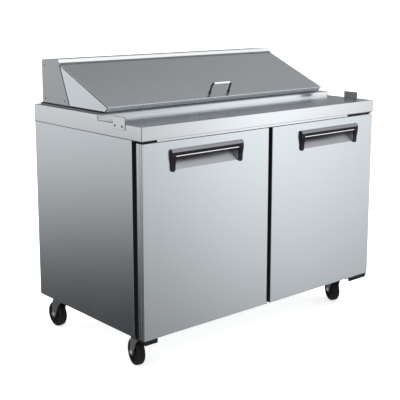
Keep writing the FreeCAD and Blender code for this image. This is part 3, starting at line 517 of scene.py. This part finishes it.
def door_handle(side):
    """Moulded handle: a rolled hood with a bead along its lip, and two round-ended legs. Its hood top carries a
    painted reflection and its bead a painted highlight.
    """
    bm = bmesh.new()
    middle = HANDLE_MIDDLE[side]
    x0, x1 = middle - HANDLE_HALF, middle + HANDLE_HALF
    add_prism(bm, HANDLE_HOOD, x0 + HOOD_SET, x1 - HOOD_SET)
    r = LEG_W / 2
    foot = arc_points((0.0, 0.0), r, 180.0, 360.0, 14)
    for start in (x0, x1 - LEG_W):
        add_prism(bm, LEG_SIDE, start, start + LEG_W)
        outline = [(start + r + u, HANDLE_FOOT_Z + r + v) for u, v in foot]
        outline += [(start + LEG_W, LEG_JOIN_Z), (start, LEG_JOIN_Z)]
        add_prism(bm, outline, -LEG_OUT, DOOR_Y[0], lambda u, v, along: (u, along, v))
    name, body = f"{side}_door_grip", f"{side}_door"
    add_piece(name, bm, body, "handle_black", (f"{side}_door_handle",), 1.0, 3, 40.0)
    bm = bmesh.new()
    add_prism(bm, HANDLE_CAP, x0 + CAP_SET, x1 - CAP_SET)
    # The cap is the hood's top, drawn grey as a painted reflection.
    add_piece(f"{name}_cap", bm, body, "handle_black", (), 0.2, look="handle_cap_painted_sheen")
    bm = bmesh.new()
    add_prism(bm, HANDLE_BEAD, x0 + LEG_W - 3.0, x1 - LEG_W - 6.0)
    # The bead is drawn near-white as a painted highlight.
    add_piece(f"{name}_bead", bm, body, "handle_black", (), 0.3, look="bead_painted_highlight")


for side in DOOR_X:
    door_panel(side)
    bellows_gasket(side)
    door_handle(side)


# ---------------------------------------------------------------- hood and lid

HOOD_X = (-583.0, 540.0)
APEX = (547.0, 1085.0)
SEAM_FOOT = (483.0, 931.0)
LID_TIP = (232.0, 950.0)
LID_FOLD = (254.0, 931.3)
HINGE_SET = 4.2  # the lid's sheet starts this far down its slope
CURL_R = (3.1, 4.4)  # inner and outer radius of the curl round the hinge rod
CURL_END = 2.0
HOOD_BACK = 676.0
HOOD_TOP = (1097.0, 560.0, 1102.0)  # rear height, then (Y, Z) of the front edge
HOOD_WALL = 20.0
SHEET = 1.5


def hood_shell():
    """Back and top of the hood: one folded wall with a rolled front edge over the lid."""
    bm = bmesh.new()
    rear_z, front_y, front_z = HOOD_TOP
    outline = [
        (HOOD_BACK, SEAM_FOOT[1]),
        (HOOD_BACK, rear_z),
        (front_y, front_z),
        (APEX[0] + 3.4, APEX[1] + 4.5),
        (APEX[0] + 17.0, rear_z - HOOD_WALL - 0.5),
        (HOOD_BACK - HOOD_WALL, rear_z - HOOD_WALL - 4.0),
        (HOOD_BACK - HOOD_WALL, SEAM_FOOT[1]),
    ]
    add_prism(bm, outline, HOOD_X[0] + SHEET, HOOD_X[1] - SHEET)
    # The hood's top takes a lighter copy of the panel steel: painted light.
    add_piece("hood_shell", bm, "cabinet", "stainless_panel", ("hood",), 0.9, 3, 20.0, "hood_sheet_painted_light")


def hood_ends():
    """End plates of the hood."""
    bm = bmesh.new()
    rear_z, front_y, front_z = HOOD_TOP
    foot_y = SEAM_FOOT[0] + 0.75
    outline = [
        (HOOD_BACK, SEAM_FOOT[1]),
        (HOOD_BACK, rear_z),
        (front_y, front_z),
        (APEX[0] + 0.7, APEX[1]),
        (foot_y, SEAM_FOOT[1]),
    ]
    for x0 in (HOOD_X[0], HOOD_X[1] - SHEET):
        add_prism(bm, outline, x0, x0 + SHEET)
    # The ends take a darker copy of the panel steel: painted shade.
    add_piece("hood_ends", bm, "cabinet", "stainless_panel", (), 0.5, 2, 20.0, "hood_end_painted_shade")


def lid_point(along, deep):
    """(Y, Z) at a distance down the lid's slope and below its top face."""
    dy, dz = LID_TIP[0] - APEX[0], LID_TIP[1] - APEX[1]
    length = math.hypot(dy, dz)
    ey, ez = dy / length, dz / length
    return APEX[0] + along * ey - deep * ez, APEX[1] + along * ez + deep * ey


def lid_length():
    """Length of the lid's slope, hinge to tip."""
    return math.hypot(LID_TIP[0] - APEX[0], LID_TIP[1] - APEX[1])


def lid_cover():
    """Sloping sheet of the lid with its rolled nose, under-fold and hinge curl."""
    bm = bmesh.new()
    length = lid_length()
    nose = [lid_point(length - 1.6, 0.0), lid_point(length - 0.5, 0.5)]
    under = [(LID_TIP[0] + 0.6, LID_TIP[1] - 2.6), (LID_TIP[0] + 3.0, LID_TIP[1] - 5.0), LID_FOLD]
    back = [
        (LID_FOLD[0] + 1.8, LID_FOLD[1] + 1.2),
        (LID_TIP[0] + 5.0, LID_TIP[1] - 3.6),
        lid_point(length - 8.0, 2.4),
    ]
    outline = [lid_point(HINGE_SET, 0.0)] + nose + under + back + [lid_point(HINGE_SET, SHEET)]
    add_prism(bm, outline, HOOD_X[0] + 0.2, HOOD_X[1] - 0.2)
    # The lid's sheet takes a darker copy of the panel steel: painted shade.
    add_piece("lid_cover", bm, "lid", "stainless_panel", ("lid_skin",), 0.35, 2, 25.0, "lid_sheet_painted_shade")
    bm = bmesh.new()
    start = HOOD_X[0] + CURL_END
    width = HOOD_X[1] - CURL_END - start
    inner, outer = CURL_R
    curl = [(0.0, inner), (0.0, outer), (width, outer), (width, inner), (0.0, inner)]
    add_lathe(bm, curl, (start, *APEX), (1, 0, 0), 24)
    # The curl is drawn in dark steel: painted shade under the hood's front edge.
    add_piece("lid_curl", bm, "lid", "stainless_panel", (), 0.2, look="dark_steel_painted_shade")


def lid_cheeks():
    """Triangular lid ends, set just under the sloping sheet so that a seam line shows."""
    bm = bmesh.new()
    length = lid_length()
    foot_y = SEAM_FOOT[0] - 0.9
    outline = [
        lid_point(9.0, 1.2),
        lid_point(length - 4.0, 1.9),
        (LID_TIP[0] + 3.6, LID_TIP[1] - 5.0),
        (LID_FOLD[0] + 0.4, LID_FOLD[1] + 0.2),
        (foot_y, LID_FOLD[1] + 0.2),
        (APEX[0] - 5.0, APEX[1] - 9.0),
    ]
    for x0 in (HOOD_X[0], HOOD_X[1] - SHEET):
        add_prism(bm, outline, x0, x0 + SHEET)
    add_piece("lid_cheeks", bm, "lid", "stainless_panel", (), 0.5, 2, 20.0)


def strip_between(bm, a, b, half, x0, x1):
    """Narrow flat strip along a (Y, Z) line."""
    dy, dz = b[0] - a[0], b[1] - a[1]
    length = math.hypot(dy, dz)
    oy, oz = -dz / length * half, dy / length * half
    outline = [(a[0] + oy, a[1] + oz), (b[0] + oy, b[1] + oz)]
    outline += [(b[0] - oy, b[1] - oz), (a[0] - oy, a[1] - oz)]
    add_prism(bm, outline, x0, x1)


SHADE_STRIP_OUT = 0.15  # how far the dark edge strips, painted shade of the seams, stand out from the lid's ends
SHADE_STRIP_IN = 0.9
SHADE_STRIP_HALF = 1.7  # half the strips' width
SHADE_STRIP_UNDER = 3.5  # below the lid's top face


def cover_shade_strips():
    """Dark edge strips as painted shade in the seams: along the lid's slope and nose, and down the hood's front
    edges.
    """
    length = lid_length()
    left, right = HOOD_X
    ends = ((left - SHADE_STRIP_OUT, left + SHADE_STRIP_IN), (right - SHADE_STRIP_IN, right + SHADE_STRIP_OUT))
    bm = bmesh.new()
    for x0, x1 in ends:
        low, high = lid_point(length - 3.0, SHADE_STRIP_UNDER), lid_point(8.0, SHADE_STRIP_UNDER)
        strip_between(bm, high, low, SHADE_STRIP_HALF, x0, x1)
        strip_between(bm, (LID_TIP[0] + 3.6, LID_TIP[1] - 3.6), LID_FOLD, 1.6, x0, x1)
        foot = (SEAM_FOOT[0] - 4.0, LID_FOLD[1] + 1.0)
        strip_between(bm, (LID_FOLD[0] + 1.0, LID_FOLD[1] + 1.0), foot, 0.9, x0, x1)
    add_piece("lid_edge_shade_strips", bm, "lid", "gasket_rubber", (), 0.0)
    bm = bmesh.new()
    for x0, x1 in ends:
        top = (APEX[0] + 2.4, APEX[1] - 3.0)
        strip_between(bm, top, (SEAM_FOOT[0] + 2.6, SEAM_FOOT[1] + 0.5), SHADE_STRIP_HALF, x0, x1)
    add_piece("hood_edge_shade_strips", bm, "cabinet", "gasket_rubber", (), 0.0)


PULL_X = (-74.0, 25.0)
PULL_R = 4.2
PULL_BEND = 11.0
PULL_TOP = 40.0
PULL_ALONG = 38.0  # from the lid's tip up the slope
PULL_GRIP = 8.0  # the bright bar starts this far in from each post
PULL_SLEEVE = 0.25  # and is this much thicker, in radius
PULL_FOOT = [(0.0, 0.0), (0.0, 6.5), (1.4, 6.5), (2.4, 5.4), (2.5, 4.0), (2.5, 0.0)]


def add_tube(bm, path, radius, steps=16):
    """A round tube with closed ends along a list of points."""
    points = [Vector(p) for p in path]
    rings = []
    side = None
    for i, point in enumerate(points):
        ahead = points[min(i + 1, len(points) - 1)] - points[max(i - 1, 0)]
        ahead.normalize()
        if side is None:
            side = ahead.orthogonal().normalized()
        side = (side - ahead * side.dot(ahead)).normalized()
        up = ahead.cross(side)
        ring = []
        for k in range(steps):
            a = 2 * math.pi * k / steps
            ring.append(bm.verts.new(point + radius * (side * math.cos(a) + up * math.sin(a))))
        rings.append(ring)
    for low, high in zip(rings, rings[1:]):
        join_rings(bm, low, high)
    bm.faces.new(rings[0][::-1])
    bm.faces.new(rings[-1])


def pull_at(x, high):
    """A point of the pull, by its X and its height above the lid."""
    y, z = lid_point(lid_length() - PULL_ALONG, -high)
    return (x, y, z)


def lid_pull():
    """Bent chrome pull: posts with round feet drawn dark as painted shade, and a bar between them drawn bright as
    a painted highlight.
    """
    bm = bmesh.new()
    x0, x1 = PULL_X
    up = Vector(pull_at(0.0, 1.0)) - Vector(pull_at(0.0, 0.0))
    for x, way in ((x0, 1.0), (x1, -1.0)):
        bend = arc_points((0.0, 0.0), PULL_BEND, 180.0, 90.0, 8)
        path = [pull_at(x, 0.4)]
        for u, v in bend:
            path.append(pull_at(x + way * (PULL_BEND + u), PULL_TOP - PULL_BEND + v))
        add_tube(bm, path, PULL_R)
        add_lathe(bm, PULL_FOOT, pull_at(x, 0.0), up, 24)
    add_piece("lid_pull_posts", bm, "lid", "lid_handle_chrome", ("lid_handle",), look="pull_painted_shade")
    bm = bmesh.new()
    start, width, steps = x0 + PULL_GRIP, x1 - x0 - 2 * PULL_GRIP, 8
    bar = [pull_at(start + width * k / steps, PULL_TOP) for k in range(steps + 1)]
    add_tube(bm, bar, PULL_R + PULL_SLEEVE, 24)
    add_piece("lid_pull_bar", bm, "lid", "lid_handle_chrome", (), 0.5, look="pull_painted_highlight")


def nose_band():
    """Band on the lid's folded nose in lighter paint as a painted sheen, with a darker line along its foot as
    painted shadow.
    """
    bm = bmesh.new()
    top = (LID_TIP[0] + 2.4, LID_TIP[1] - 5.6)
    foot = (LID_FOLD[0] - 2.2, LID_FOLD[1] + 2.4)
    x0, x1 = HOOD_X[0] + 1.0, HOOD_X[1] - 1.0
    strip_between(bm, top, foot, 0.35, x0, x1)
    add_piece("lid_nose_band", bm, "lid", "stainless_panel", (), 0.1, look="nose_painted_sheen")
    # Dark line on the nose: painted shadow.
    bm = bmesh.new()
    y, z = (top[0] + foot[0]) / 2, (top[1] + foot[1]) / 2
    strip_between(bm, (y - 0.7, z + 0.6), (y + 0.7, z - 0.6), 0.5, x0, x1)
    add_piece("lid_nose_shade_line", bm, "lid", "gasket_rubber", (), 0.0, look="shade_seam_and_screw_grey")


hood_shell()
hood_ends()
lid_cover()
lid_cheeks()
cover_shade_strips()
lid_pull()
nose_band()


# ---------------------------------------------------------------- worktop trim

TOP_X = 612.0
APRON_Z = 859.0
LEDGE_Z = 907.0
DECK_Y = 257.0
DECK_Z = 924.0
POST_R = 1.45  # upright seam at each front corner
POST_IN = 1.5  # its middle, from the corner's two faces
POST_TALL = 46.0
SHADOW_LINE_X = (609.9, 611.7)  # dark strip under a side apron: painted shadow of the apron's edge
SHADOW_LINE_Y = (42.0, 694.0)
RETURN_X = (-545.0, 446.0)  # between the top hinges
RETURN_YZ = [
    (2.2, APRON_Z + 0.1), (2.2, 851.2), (3.0, 850.6), (9.0, 850.6), (9.0, 851.8), (3.6, 852.0),
    (3.6, APRON_Z + 0.1),
]
BRACKET_Y = (91.0, 162.0)
BRACKET_Z = (887.0, 932.0)
PAD_EDGE = 0.4  # how far a pad shows past its bracket


def apron_trim():
    """Dark strips under the side aprons, along each side's step and along the deck's front edge as painted shadow
    lines; corner seams; and the light return in the gap over the doors.
    """
    bm = bmesh.new()
    for way in (-1, 1):
        near, far = sorted((way * SHADOW_LINE_X[0], way * SHADOW_LINE_X[1]))
        add_box(bm, (near, SHADOW_LINE_Y[0], APRON_Z - 2.6), (far, SHADOW_LINE_Y[1], APRON_Z + 0.2))
        foot = (way * (TOP_X - POST_IN), POST_IN, APRON_Z + 1.0)
        post = [(0, 0), (0, POST_R), (POST_TALL, POST_R), (POST_TALL, 0)]
        add_lathe(bm, post, foot, (0, 0, 1), 16)
        near, far = sorted((way * (TOP_X - 2.0), way * (TOP_X + 0.12)))
        add_box(bm, (near, BRACKET_Y[1] + 1.0, LEDGE_Z - 2.2), (far, DECK_Y, LEDGE_Z - 0.5))
        add_box(bm, (near, DECK_Y - 0.4, LEDGE_Z - 2.2), (far, DECK_Y + 1.4, DECK_Z - 1.6))
    low, high = (3.0 - TOP_X, DECK_Y - 0.12, DECK_Z - 3.4), (TOP_X - 3.0, DECK_Y + 0.8, DECK_Z - 2.2)
    add_box(bm, low, high)
    # Drawn near-black: painted shadow lines, and the corner seams.
    add_piece("worktop_shade_and_seam_lines", bm, "cabinet", "gasket_rubber", (), 0.0, look="shade_seam_and_screw_grey")
    bm = bmesh.new()
    add_prism(bm, RETURN_YZ, *RETURN_X)
    add_piece("apron_return", bm, "cabinet", "stainless_top", (), 0.2)


def bracket_shade_outlines():
    """Thin dark pads behind the cutting-board brackets, a little larger than the plates, so that a painted shade
    outline shows round each bracket.
    """
    bm = bmesh.new()
    for way in (-1, 1):
        near, far = sorted((way * (TOP_X - 0.1), way * (TOP_X + 0.7)))
        low = (near, BRACKET_Y[0] - PAD_EDGE, BRACKET_Z[0] - PAD_EDGE)
        add_box(bm, low, (far, BRACKET_Y[1] + PAD_EDGE, BRACKET_Z[1] + PAD_EDGE))
    add_piece("bracket_shade_pads", bm, "cabinet", "gasket_rubber", (), 0.2, look="pad_painted_shade_grey")


apron_trim()
bracket_shade_outlines()


# ---------------------------------------------------------------- casters

CORNERS = ("front_left", "front_right", "rear_left", "rear_right")
JOINTS = {joint["name"]: joint for joint in frame["joints"]}
WHEEL_R = 51.0
TRAIL = 36.0
FORK_INNER = 18.5
FORK_LEG = 3.0
CROWN_Y = (-24.0, 27.0)
CROWN_Z = (127.5, 131.5)
EYE_R = 13.0  # round foot of a fork leg, about the axle
AXLE_R = 5.9
WHEEL_W = 32.0
RIBS = 6
RIB_SPAN = (13.0, 35.5)  # a rib's inner and outer distance from the axle
RIB_SIDE = (7.0, 10.6)  # and its sides, from the wheel's middle
# Outlines as (distance along the axis, radius).
RACE = [
    (0, 8.1), (0, 24.0), (2.0, 26.6), (5.0, 27.0), (7.6, 25.4), (10.3, 20.0), (10.3, 8.1), (0, 8.1),
]
NUT = [(0.0, 0.0), (0.0, 9.5), (1.2, 9.5), (1.2, 7.2), (4.6, 6.6), (5.0, 5.6), (5.0, 0.0)]
TYRE_HALF = [(0.9, 37.0), (0.9, 44.0), (1.9, 47.4), (4.4, 49.9), (8.0, 50.8), (16.0, 51.0)]
DISH = [
    (31.1, 37.0), (29.6, 36.2), (24.6, 34.6), (23.8, 32.0), (23.8, 16.0), (25.6, 13.4), (31.4, 12.6),
    (31.8, 11.8), (31.8, 6.1),
]


def park(verts, corner):
    """Turns a caster's points to its parked direction and sets them under its corner."""
    x, y, _ = JOINTS[f"swivel_{corner}"]["pos_m"]
    axle = JOINTS[f"roll_{corner}"]["axis"]
    turn = Matrix.Rotation(math.atan2(axle[1], axle[0]), 3, "Z")
    for vert in verts:
        vert.co = turn @ vert.co + Vector((x * MM, y * MM + CENTRE_Y, 0.0))


def caster_fork(corner):
    """Pressed fork: crown, raceway, two tapered legs with round ends, bolts and axle."""
    bm = bmesh.new()
    outer = FORK_INNER + FORK_LEG
    add_box(bm, (-outer, CROWN_Y[0], CROWN_Z[0]), (outer, CROWN_Y[1], CROWN_Z[1]))
    add_lathe(bm, RACE, (0, 0, CROWN_Z[0] - 0.3), (0, 0, 1), 40)
    eye = arc_points((TRAIL, WHEEL_R), EYE_R, -150.0, 20.0, 16)
    side = [(-24.0, 131.0), (-24.0, 119.0), (2.0, 92.0)] + eye + [(44.0, 98.0), (29.0, 131.0)]
    for x0 in (-outer, FORK_INNER):
        add_prism(bm, side, x0, x0 + FORK_LEG)
    name = f"caster_yoke_{corner}"
    park(bm.verts, corner)
    add_piece(name, bm, f"caster_{corner}", "caster_zinc", (f"caster_fork_{corner}",), 0.9, 2, 35.0)
    bm = bmesh.new()
    for way in (-1, 1):
        add_lathe(bm, NUT, (way * outer, TRAIL, WHEEL_R), (way, 0, 0), 24)
    axle = [(0, 0), (0, AXLE_R), (2 * outer, AXLE_R), (2 * outer, 0)]
    add_lathe(bm, axle, (-outer, TRAIL, WHEEL_R), (1, 0, 0), 24)
    park(bm.verts, corner)
    add_piece(f"caster_axle_{corner}", bm, f"caster_{corner}", "bright_steel", (), 0.3)


def caster_wheel(corner):
    """Rubber tyre on a dished centre with ribs and a hub."""
    bm = bmesh.new()
    tyre = TYRE_HALF + [(WHEEL_W - a, r) for a, r in TYRE_HALF[-2::-1]]
    other = [(WHEEL_W - a, r) for a, r in DISH[::-1]]
    add_lathe(bm, tyre + DISH + other, (-WHEEL_W / 2, TRAIL, WHEEL_R), (1, 0, 0), 64)
    (low, high), (near, far) = RIB_SPAN, RIB_SIDE
    for k in range(RIBS):
        made = add_box(bm, (near, -1.2, low), (far, 1.2, high))
        made += add_box(bm, (-far, -1.2, low), (-near, 1.2, high))
        turn = Matrix.Rotation(math.radians(360.0 * k / RIBS + 10.0), 3, "X")
        for vert in made:
            vert.co = turn @ vert.co + Vector((0.0, TRAIL, WHEEL_R))
    park(bm.verts, corner)
    name = f"caster_tyre_{corner}"
    add_piece(name, bm, f"wheel_{corner}", "wheel_rubber", (f"caster_wheel_{corner}",), 0.4, 2, 40.0)


for corner in CORNERS:
    caster_fork(corner)
    caster_wheel(corner)


# ---------------------------------------------------------------- fasteners and back

# Screw head with its socket, as (height, radius).
DOME = [(0.0, 4.0), (1.0, 3.9), (1.7, 3.2), (2.1, 2.1), (2.2, 1.5), (1.2, 1.3), (1.2, 0.0)]
SMALL_DOME = [(height * 0.72, radius * 0.75) for height, radius in DOME]
BRACKET_SCREW_X = 614.5
BRACKET_SCREW_Y = (108.0, 150.0)
BRACKET_SCREW_Z = 899.0
HOOD_SCREWS = ((518.0, 947.0), (655.0, 947.0), (655.0, 1075.0))  # (Y, Z)


def cover_screws():
    """Domed socket screws of the board brackets and of the hood's ends."""
    bm = bmesh.new()
    for way in (-1, 1):
        for y in BRACKET_SCREW_Y:
            at = (way * BRACKET_SCREW_X, y, BRACKET_SCREW_Z)
            add_lathe(bm, DOME, at, (way, 0, 0), 20)
    for y, z in HOOD_SCREWS:
        add_lathe(bm, SMALL_DOME, (HOOD_X[0], y, z), (-1, 0, 0), 20)
        add_lathe(bm, SMALL_DOME, (HOOD_X[1], y, z), (1, 0, 0), 20)
    add_piece("domed_screws", bm, "cabinet", "bright_steel", ("cover_screws",), look="shade_seam_and_screw_grey")


REAR_Y = 695.0
LOUVRE_X = (-560.0, -380.0, -200.0, -20.0, 160.0)
LOUVRE_W = 150.0
LOUVRE_ROWS = 12
LOUVRE_Z = 190.0
LOUVRE_PITCH = 18.0
# A louvre's hood as (out from the back, up from its lower edge).
LOUVRE = [
    (0.0, 11.0), (2.6, 9.4), (4.6, 5.0), (4.9, 0.6), (4.1, 0.6), (3.8, 4.6), (2.0, 8.4), (0.0, 9.8),
]
# The back's screws, at its two side edges and along its seams.
EDGE_SCREW_X = (-596.0, 596.0)
EDGE_SCREW_Z = (166.0, 300.0, 428.0, 452.0, 650.0, 846.0)
SEAM_SCREW_X = (-300.0, 0.0, 300.0)
SEAM_SCREW_Z = (428.0, 452.0, 846.0)


def louvres():
    """Pressed hoods over the grille's slots."""
    bm = bmesh.new()
    for row in range(LOUVRE_ROWS):
        z = LOUVRE_Z + row * LOUVRE_PITCH
        hood = [(REAR_Y + out, z + up) for out, up in LOUVRE]
        for x in LOUVRE_X:
            add_prism(bm, hood, x - 1.0, x + LOUVRE_W + 1.0)
    add_piece("grille_louvres", bm, "cabinet", "zinc_sheet", (), 0.3)


def back_screws():
    """Pan-head screws round the back panel and the grille."""
    bm = bmesh.new()
    for z in EDGE_SCREW_Z:
        for x in EDGE_SCREW_X:
            add_lathe(bm, DOME, (x, REAR_Y, z), (0, 1, 0), 16)
    for z in SEAM_SCREW_Z:
        for x in SEAM_SCREW_X:
            add_lathe(bm, DOME, (x, REAR_Y, z), (0, 1, 0), 16)
    add_piece("back_screws", bm, "cabinet", "bright_steel", (), 0.0)


CURB_OUT = 6.6  # how far the curb's dark strip reaches past the hood's ends
CURB_Y = (261.9, 680.1)
CURB_Z = (927.6, 931.0)
CURB_W = 6.0


def curb_dark_strip():
    """Dark strip on the curb, under the hood and the lid."""
    bm = bmesh.new()
    x0, x1 = HOOD_X[0] - CURB_OUT, HOOD_X[1] + CURB_OUT
    low, high = CURB_Z
    rings = []
    for z, w in ((low, 0.0), (high, 0.0), (high, CURB_W), (low, CURB_W)):
        a, b, c, d = x0 + w, x1 - w, CURB_Y[0] + w, CURB_Y[1] - w
        rings.append([bm.verts.new(p) for p in ((a, c, z), (b, c, z), (b, d, z), (a, d, z))])
    for low, high in zip(rings, rings[1:] + rings[:1]):
        join_rings(bm, low, high)
    add_piece("curb_dark_strip", bm, "cabinet", "gasket_rubber", (), 0.4)


cover_screws()
louvres()
back_screws()
curb_dark_strip()


# ---------------------------------------------------------------- floor, light and camera


FLOOR_HALF = 600.0
FLOOR_GLOW = 0.62
LAMP_POWER = 420.0
LAMP_SIZE = 9.0
LAMP_AT = (-0.6, -0.8, 6.5)
CAMERA_LENS = 79.84
CAMERA_SHIFT = -0.10
CAMERA_AT = (-2.372, -2.700, 1.3406)
CAMERA_YAW = 40.775  # to the right of straight ahead, in degrees
CAMERA_PITCH = 10.52  # downwards, in degrees
CAMERA_REACH = 2000.0


def make_floor():
    """Wide pale floor."""
    mesh = bpy.data.meshes.new("floor")
    side = FLOOR_HALF
    corners = [(-side, -side, 0), (side, -side, 0), (side, side, 0), (-side, side, 0)]
    mesh.from_pydata(corners, [], [(0, 1, 2, 3)])
    floor = bpy.data.objects.new("floor", mesh)
    bpy.context.scene.collection.objects.link(floor)
    mat, _, shader = new_material("floor_pale")
    shader.inputs["Base Color"].default_value = (0.95, 0.95, 0.95, 1.0)
    shader.inputs["Roughness"].default_value = 0.9
    shader.inputs["Specular IOR Level"].default_value = 0.1
    shader.inputs["Emission Color"].default_value = (1.0, 1.0, 1.0, 1.0)
    shader.inputs["Emission Strength"].default_value = FLOOR_GLOW
    mesh.materials.append(mat)
    floor.visible_glossy = False


def span(stops):
    """Ramp stops given from -1 to 1, moved to a ramp's 0 to 1."""
    return [((position + 1) / 2, level) for position, level in stops]


# Brightness of the studio, as (place, level). A place is the height of a direction, as its sine,
# or its bearing, as the sine of the angle from straight ahead towards the right.
FRONT_BY_HEIGHT = [
    (-0.65, 0.50), (-0.48, 0.22), (-0.36, 0.35), (-0.32, 0.54), (-0.27, 0.67), (-0.21, 0.83),
    (-0.15, 1.0), (0.0, 1.02), (0.4, 1.05), (0.6, 1.3), (0.8, 1.35), (1.0, 1.15),
]
FRONT_BY_BEARING = [
    (-1.0, 0.85), (0.0, 0.85), (0.5, 0.72), (0.60, 0.76), (0.64, 0.98), (0.672, 1.32),
    (0.70, 1.62), (0.73, 1.58), (0.755, 1.36), (0.785, 0.88), (0.82, 0.80), (1.0, 0.98),
]
REAR_BY_HEIGHT = [
    (-0.70, 0.40), (-0.48, 0.02), (-0.34, 0.02), (-0.30, 0.10), (-0.25, 0.33), (-0.21, 0.53),
    (-0.16, 0.78), (-0.08, 0.90), (0.1, 0.92), (0.6, 0.95), (1.0, 1.1),
]
DIM_BY_HEIGHT = [
    (-0.60, 0.50), (-0.35, 0.45), (-0.21, 0.5), (-0.1, 0.55), (0.05, 0.45),
    (0.15, 0.36), (0.66, 0.36), (0.82, 0.9), (1.0, 1.1),
]
DIM_BY_BEARING = [
    (-0.3, 0.62), (0.3, 0.62), (0.70, 0.62), (0.75, 0.70), (0.80, 0.94), (0.865, 1.18), (1.0, 1.25),
]
SOFT_BY_HEIGHT = [(-1.0, 0.60), (-0.40, 0.50), (-0.20, 0.70), (0.0, 0.90), (0.5, 1.0), (1.0, 1.1)]
# Bearings over which the fitted profiles hold, in front and behind on the left. Beyond them the
# studio is evenly soft there. Behind on the right the dim profile holds throughout.
FRONT_WINDOW = [(-1.0, 0.0), (0.38, 0.0), (0.52, 1.0), (0.90, 1.0), (0.97, 0.0), (1.0, 0.0)]
REAR_WINDOW = [(-1.0, 0.0), (-0.95, 0.0), (-0.82, 1.0), (-0.30, 1.0), (-0.15, 0.0), (1.0, 0.0)]


# Where the studio goes over from left to right behind, and from front to rear, on a ramp's 0 to 1.
REAR_BLEND = (0.36, 0.5)
SIDE_BLEND = (0.42, 0.58)
BACKDROP = (1.0, 1.0, 1.0)  # the plain backdrop seen past the floor


def make_world():
    """Soft studio surround, bright in front and to the left, behind a plain pale backdrop."""
    world = bpy.data.worlds.new("studio")
    bpy.context.scene.world = world
    world.use_nodes = True
    tree = world.node_tree
    tree.nodes.clear()
    out = tree.nodes.new("ShaderNodeOutputWorld")
    back = tree.nodes.new("ShaderNodeBackground")
    coords = tree.nodes.new("ShaderNodeTexCoord")
    parts = tree.nodes.new("ShaderNodeSeparateXYZ")
    tree.links.new(coords.outputs["Generated"], parts.inputs["Vector"])
    x, y, z = (parts.outputs[axis] for axis in "XYZ")  # of the direction looked in
    squares = maths(tree, "ADD", maths(tree, "MULTIPLY", x, x), maths(tree, "MULTIPLY", y, y))
    level = maths(tree, "MAXIMUM", maths(tree, "SQRT", squares), 0.0001)
    bearing = maths(tree, "MULTIPLY_ADD", maths(tree, "DIVIDE", x, level), 0.5, 0.5)
    height = maths(tree, "MULTIPLY_ADD", z, 0.5, 0.5)
    by_height = ramp(tree, height, span(FRONT_BY_HEIGHT))
    by_bearing = ramp(tree, bearing, span(FRONT_BY_BEARING))
    soft = ramp(tree, height, span(SOFT_BY_HEIGHT))
    fitted = maths(tree, "MULTIPLY", by_height, by_bearing)
    front = mix_colour(tree, ramp(tree, bearing, span(FRONT_WINDOW)), soft, fitted)
    left = ramp(tree, height, span(REAR_BY_HEIGHT))
    bright = mix_colour(tree, ramp(tree, bearing, span(REAR_WINDOW)), soft, left)
    dim_height = ramp(tree, height, span(DIM_BY_HEIGHT))
    dim = maths(tree, "MULTIPLY", dim_height, ramp(tree, bearing, span(DIM_BY_BEARING)))
    rear = blend_by(tree, bearing, REAR_BLEND, bright, dim)
    depth = maths(tree, "MULTIPLY_ADD", maths(tree, "DIVIDE", y, level), 0.5, 0.5)
    glow = blend_by(tree, depth, SIDE_BLEND, front, rear)
    seen = tree.nodes.new("ShaderNodeLightPath").outputs["Is Camera Ray"]
    tree.links.new(mix_colour(tree, seen, glow, BACKDROP), back.inputs["Color"])
    back.inputs["Strength"].default_value = 1.0
    tree.links.new(back.outputs["Background"], out.inputs["Surface"])


def blend_by(tree, value, limits, low, high):
    """Goes from the low colour to the high one as a value crosses the limits."""
    step = tree.nodes.new("ShaderNodeMapRange")
    step.interpolation_type = "SMOOTHSTEP"
    step.inputs["From Min"].default_value = limits[0]
    step.inputs["From Max"].default_value = limits[1]
    tree.links.new(value, step.inputs["Value"])
    return mix_colour(tree, step.outputs["Result"], low, high)


def make_lamp():
    """Large soft overhead lamp that lights the floor and leaves the steel's reflections alone."""
    data = bpy.data.lights.new("overhead", "AREA")
    data.shape = "DISK"
    data.size = LAMP_SIZE
    data.energy = LAMP_POWER
    lamp = bpy.data.objects.new("overhead", data)
    lamp.location = LAMP_AT
    lamp.visible_glossy = False
    bpy.context.scene.collection.objects.link(lamp)


def make_camera():
    """Camera at the height of a standing person, to the table's front left."""
    data = bpy.data.cameras.new("camera")
    camera = bpy.data.objects.new("camera", data)
    bpy.context.scene.collection.objects.link(camera)
    data.sensor_width = 36.0
    data.lens = CAMERA_LENS
    data.shift_y = CAMERA_SHIFT
    data.clip_end = CAMERA_REACH
    camera.location = CAMERA_AT
    camera.rotation_euler = (math.radians(90 - CAMERA_PITCH), 0.0, math.radians(-CAMERA_YAW))
    bpy.context.scene.camera = camera


make_floor()
make_world()
make_lamp()
make_camera()
bpy.context.scene.view_settings.view_transform = "Standard"
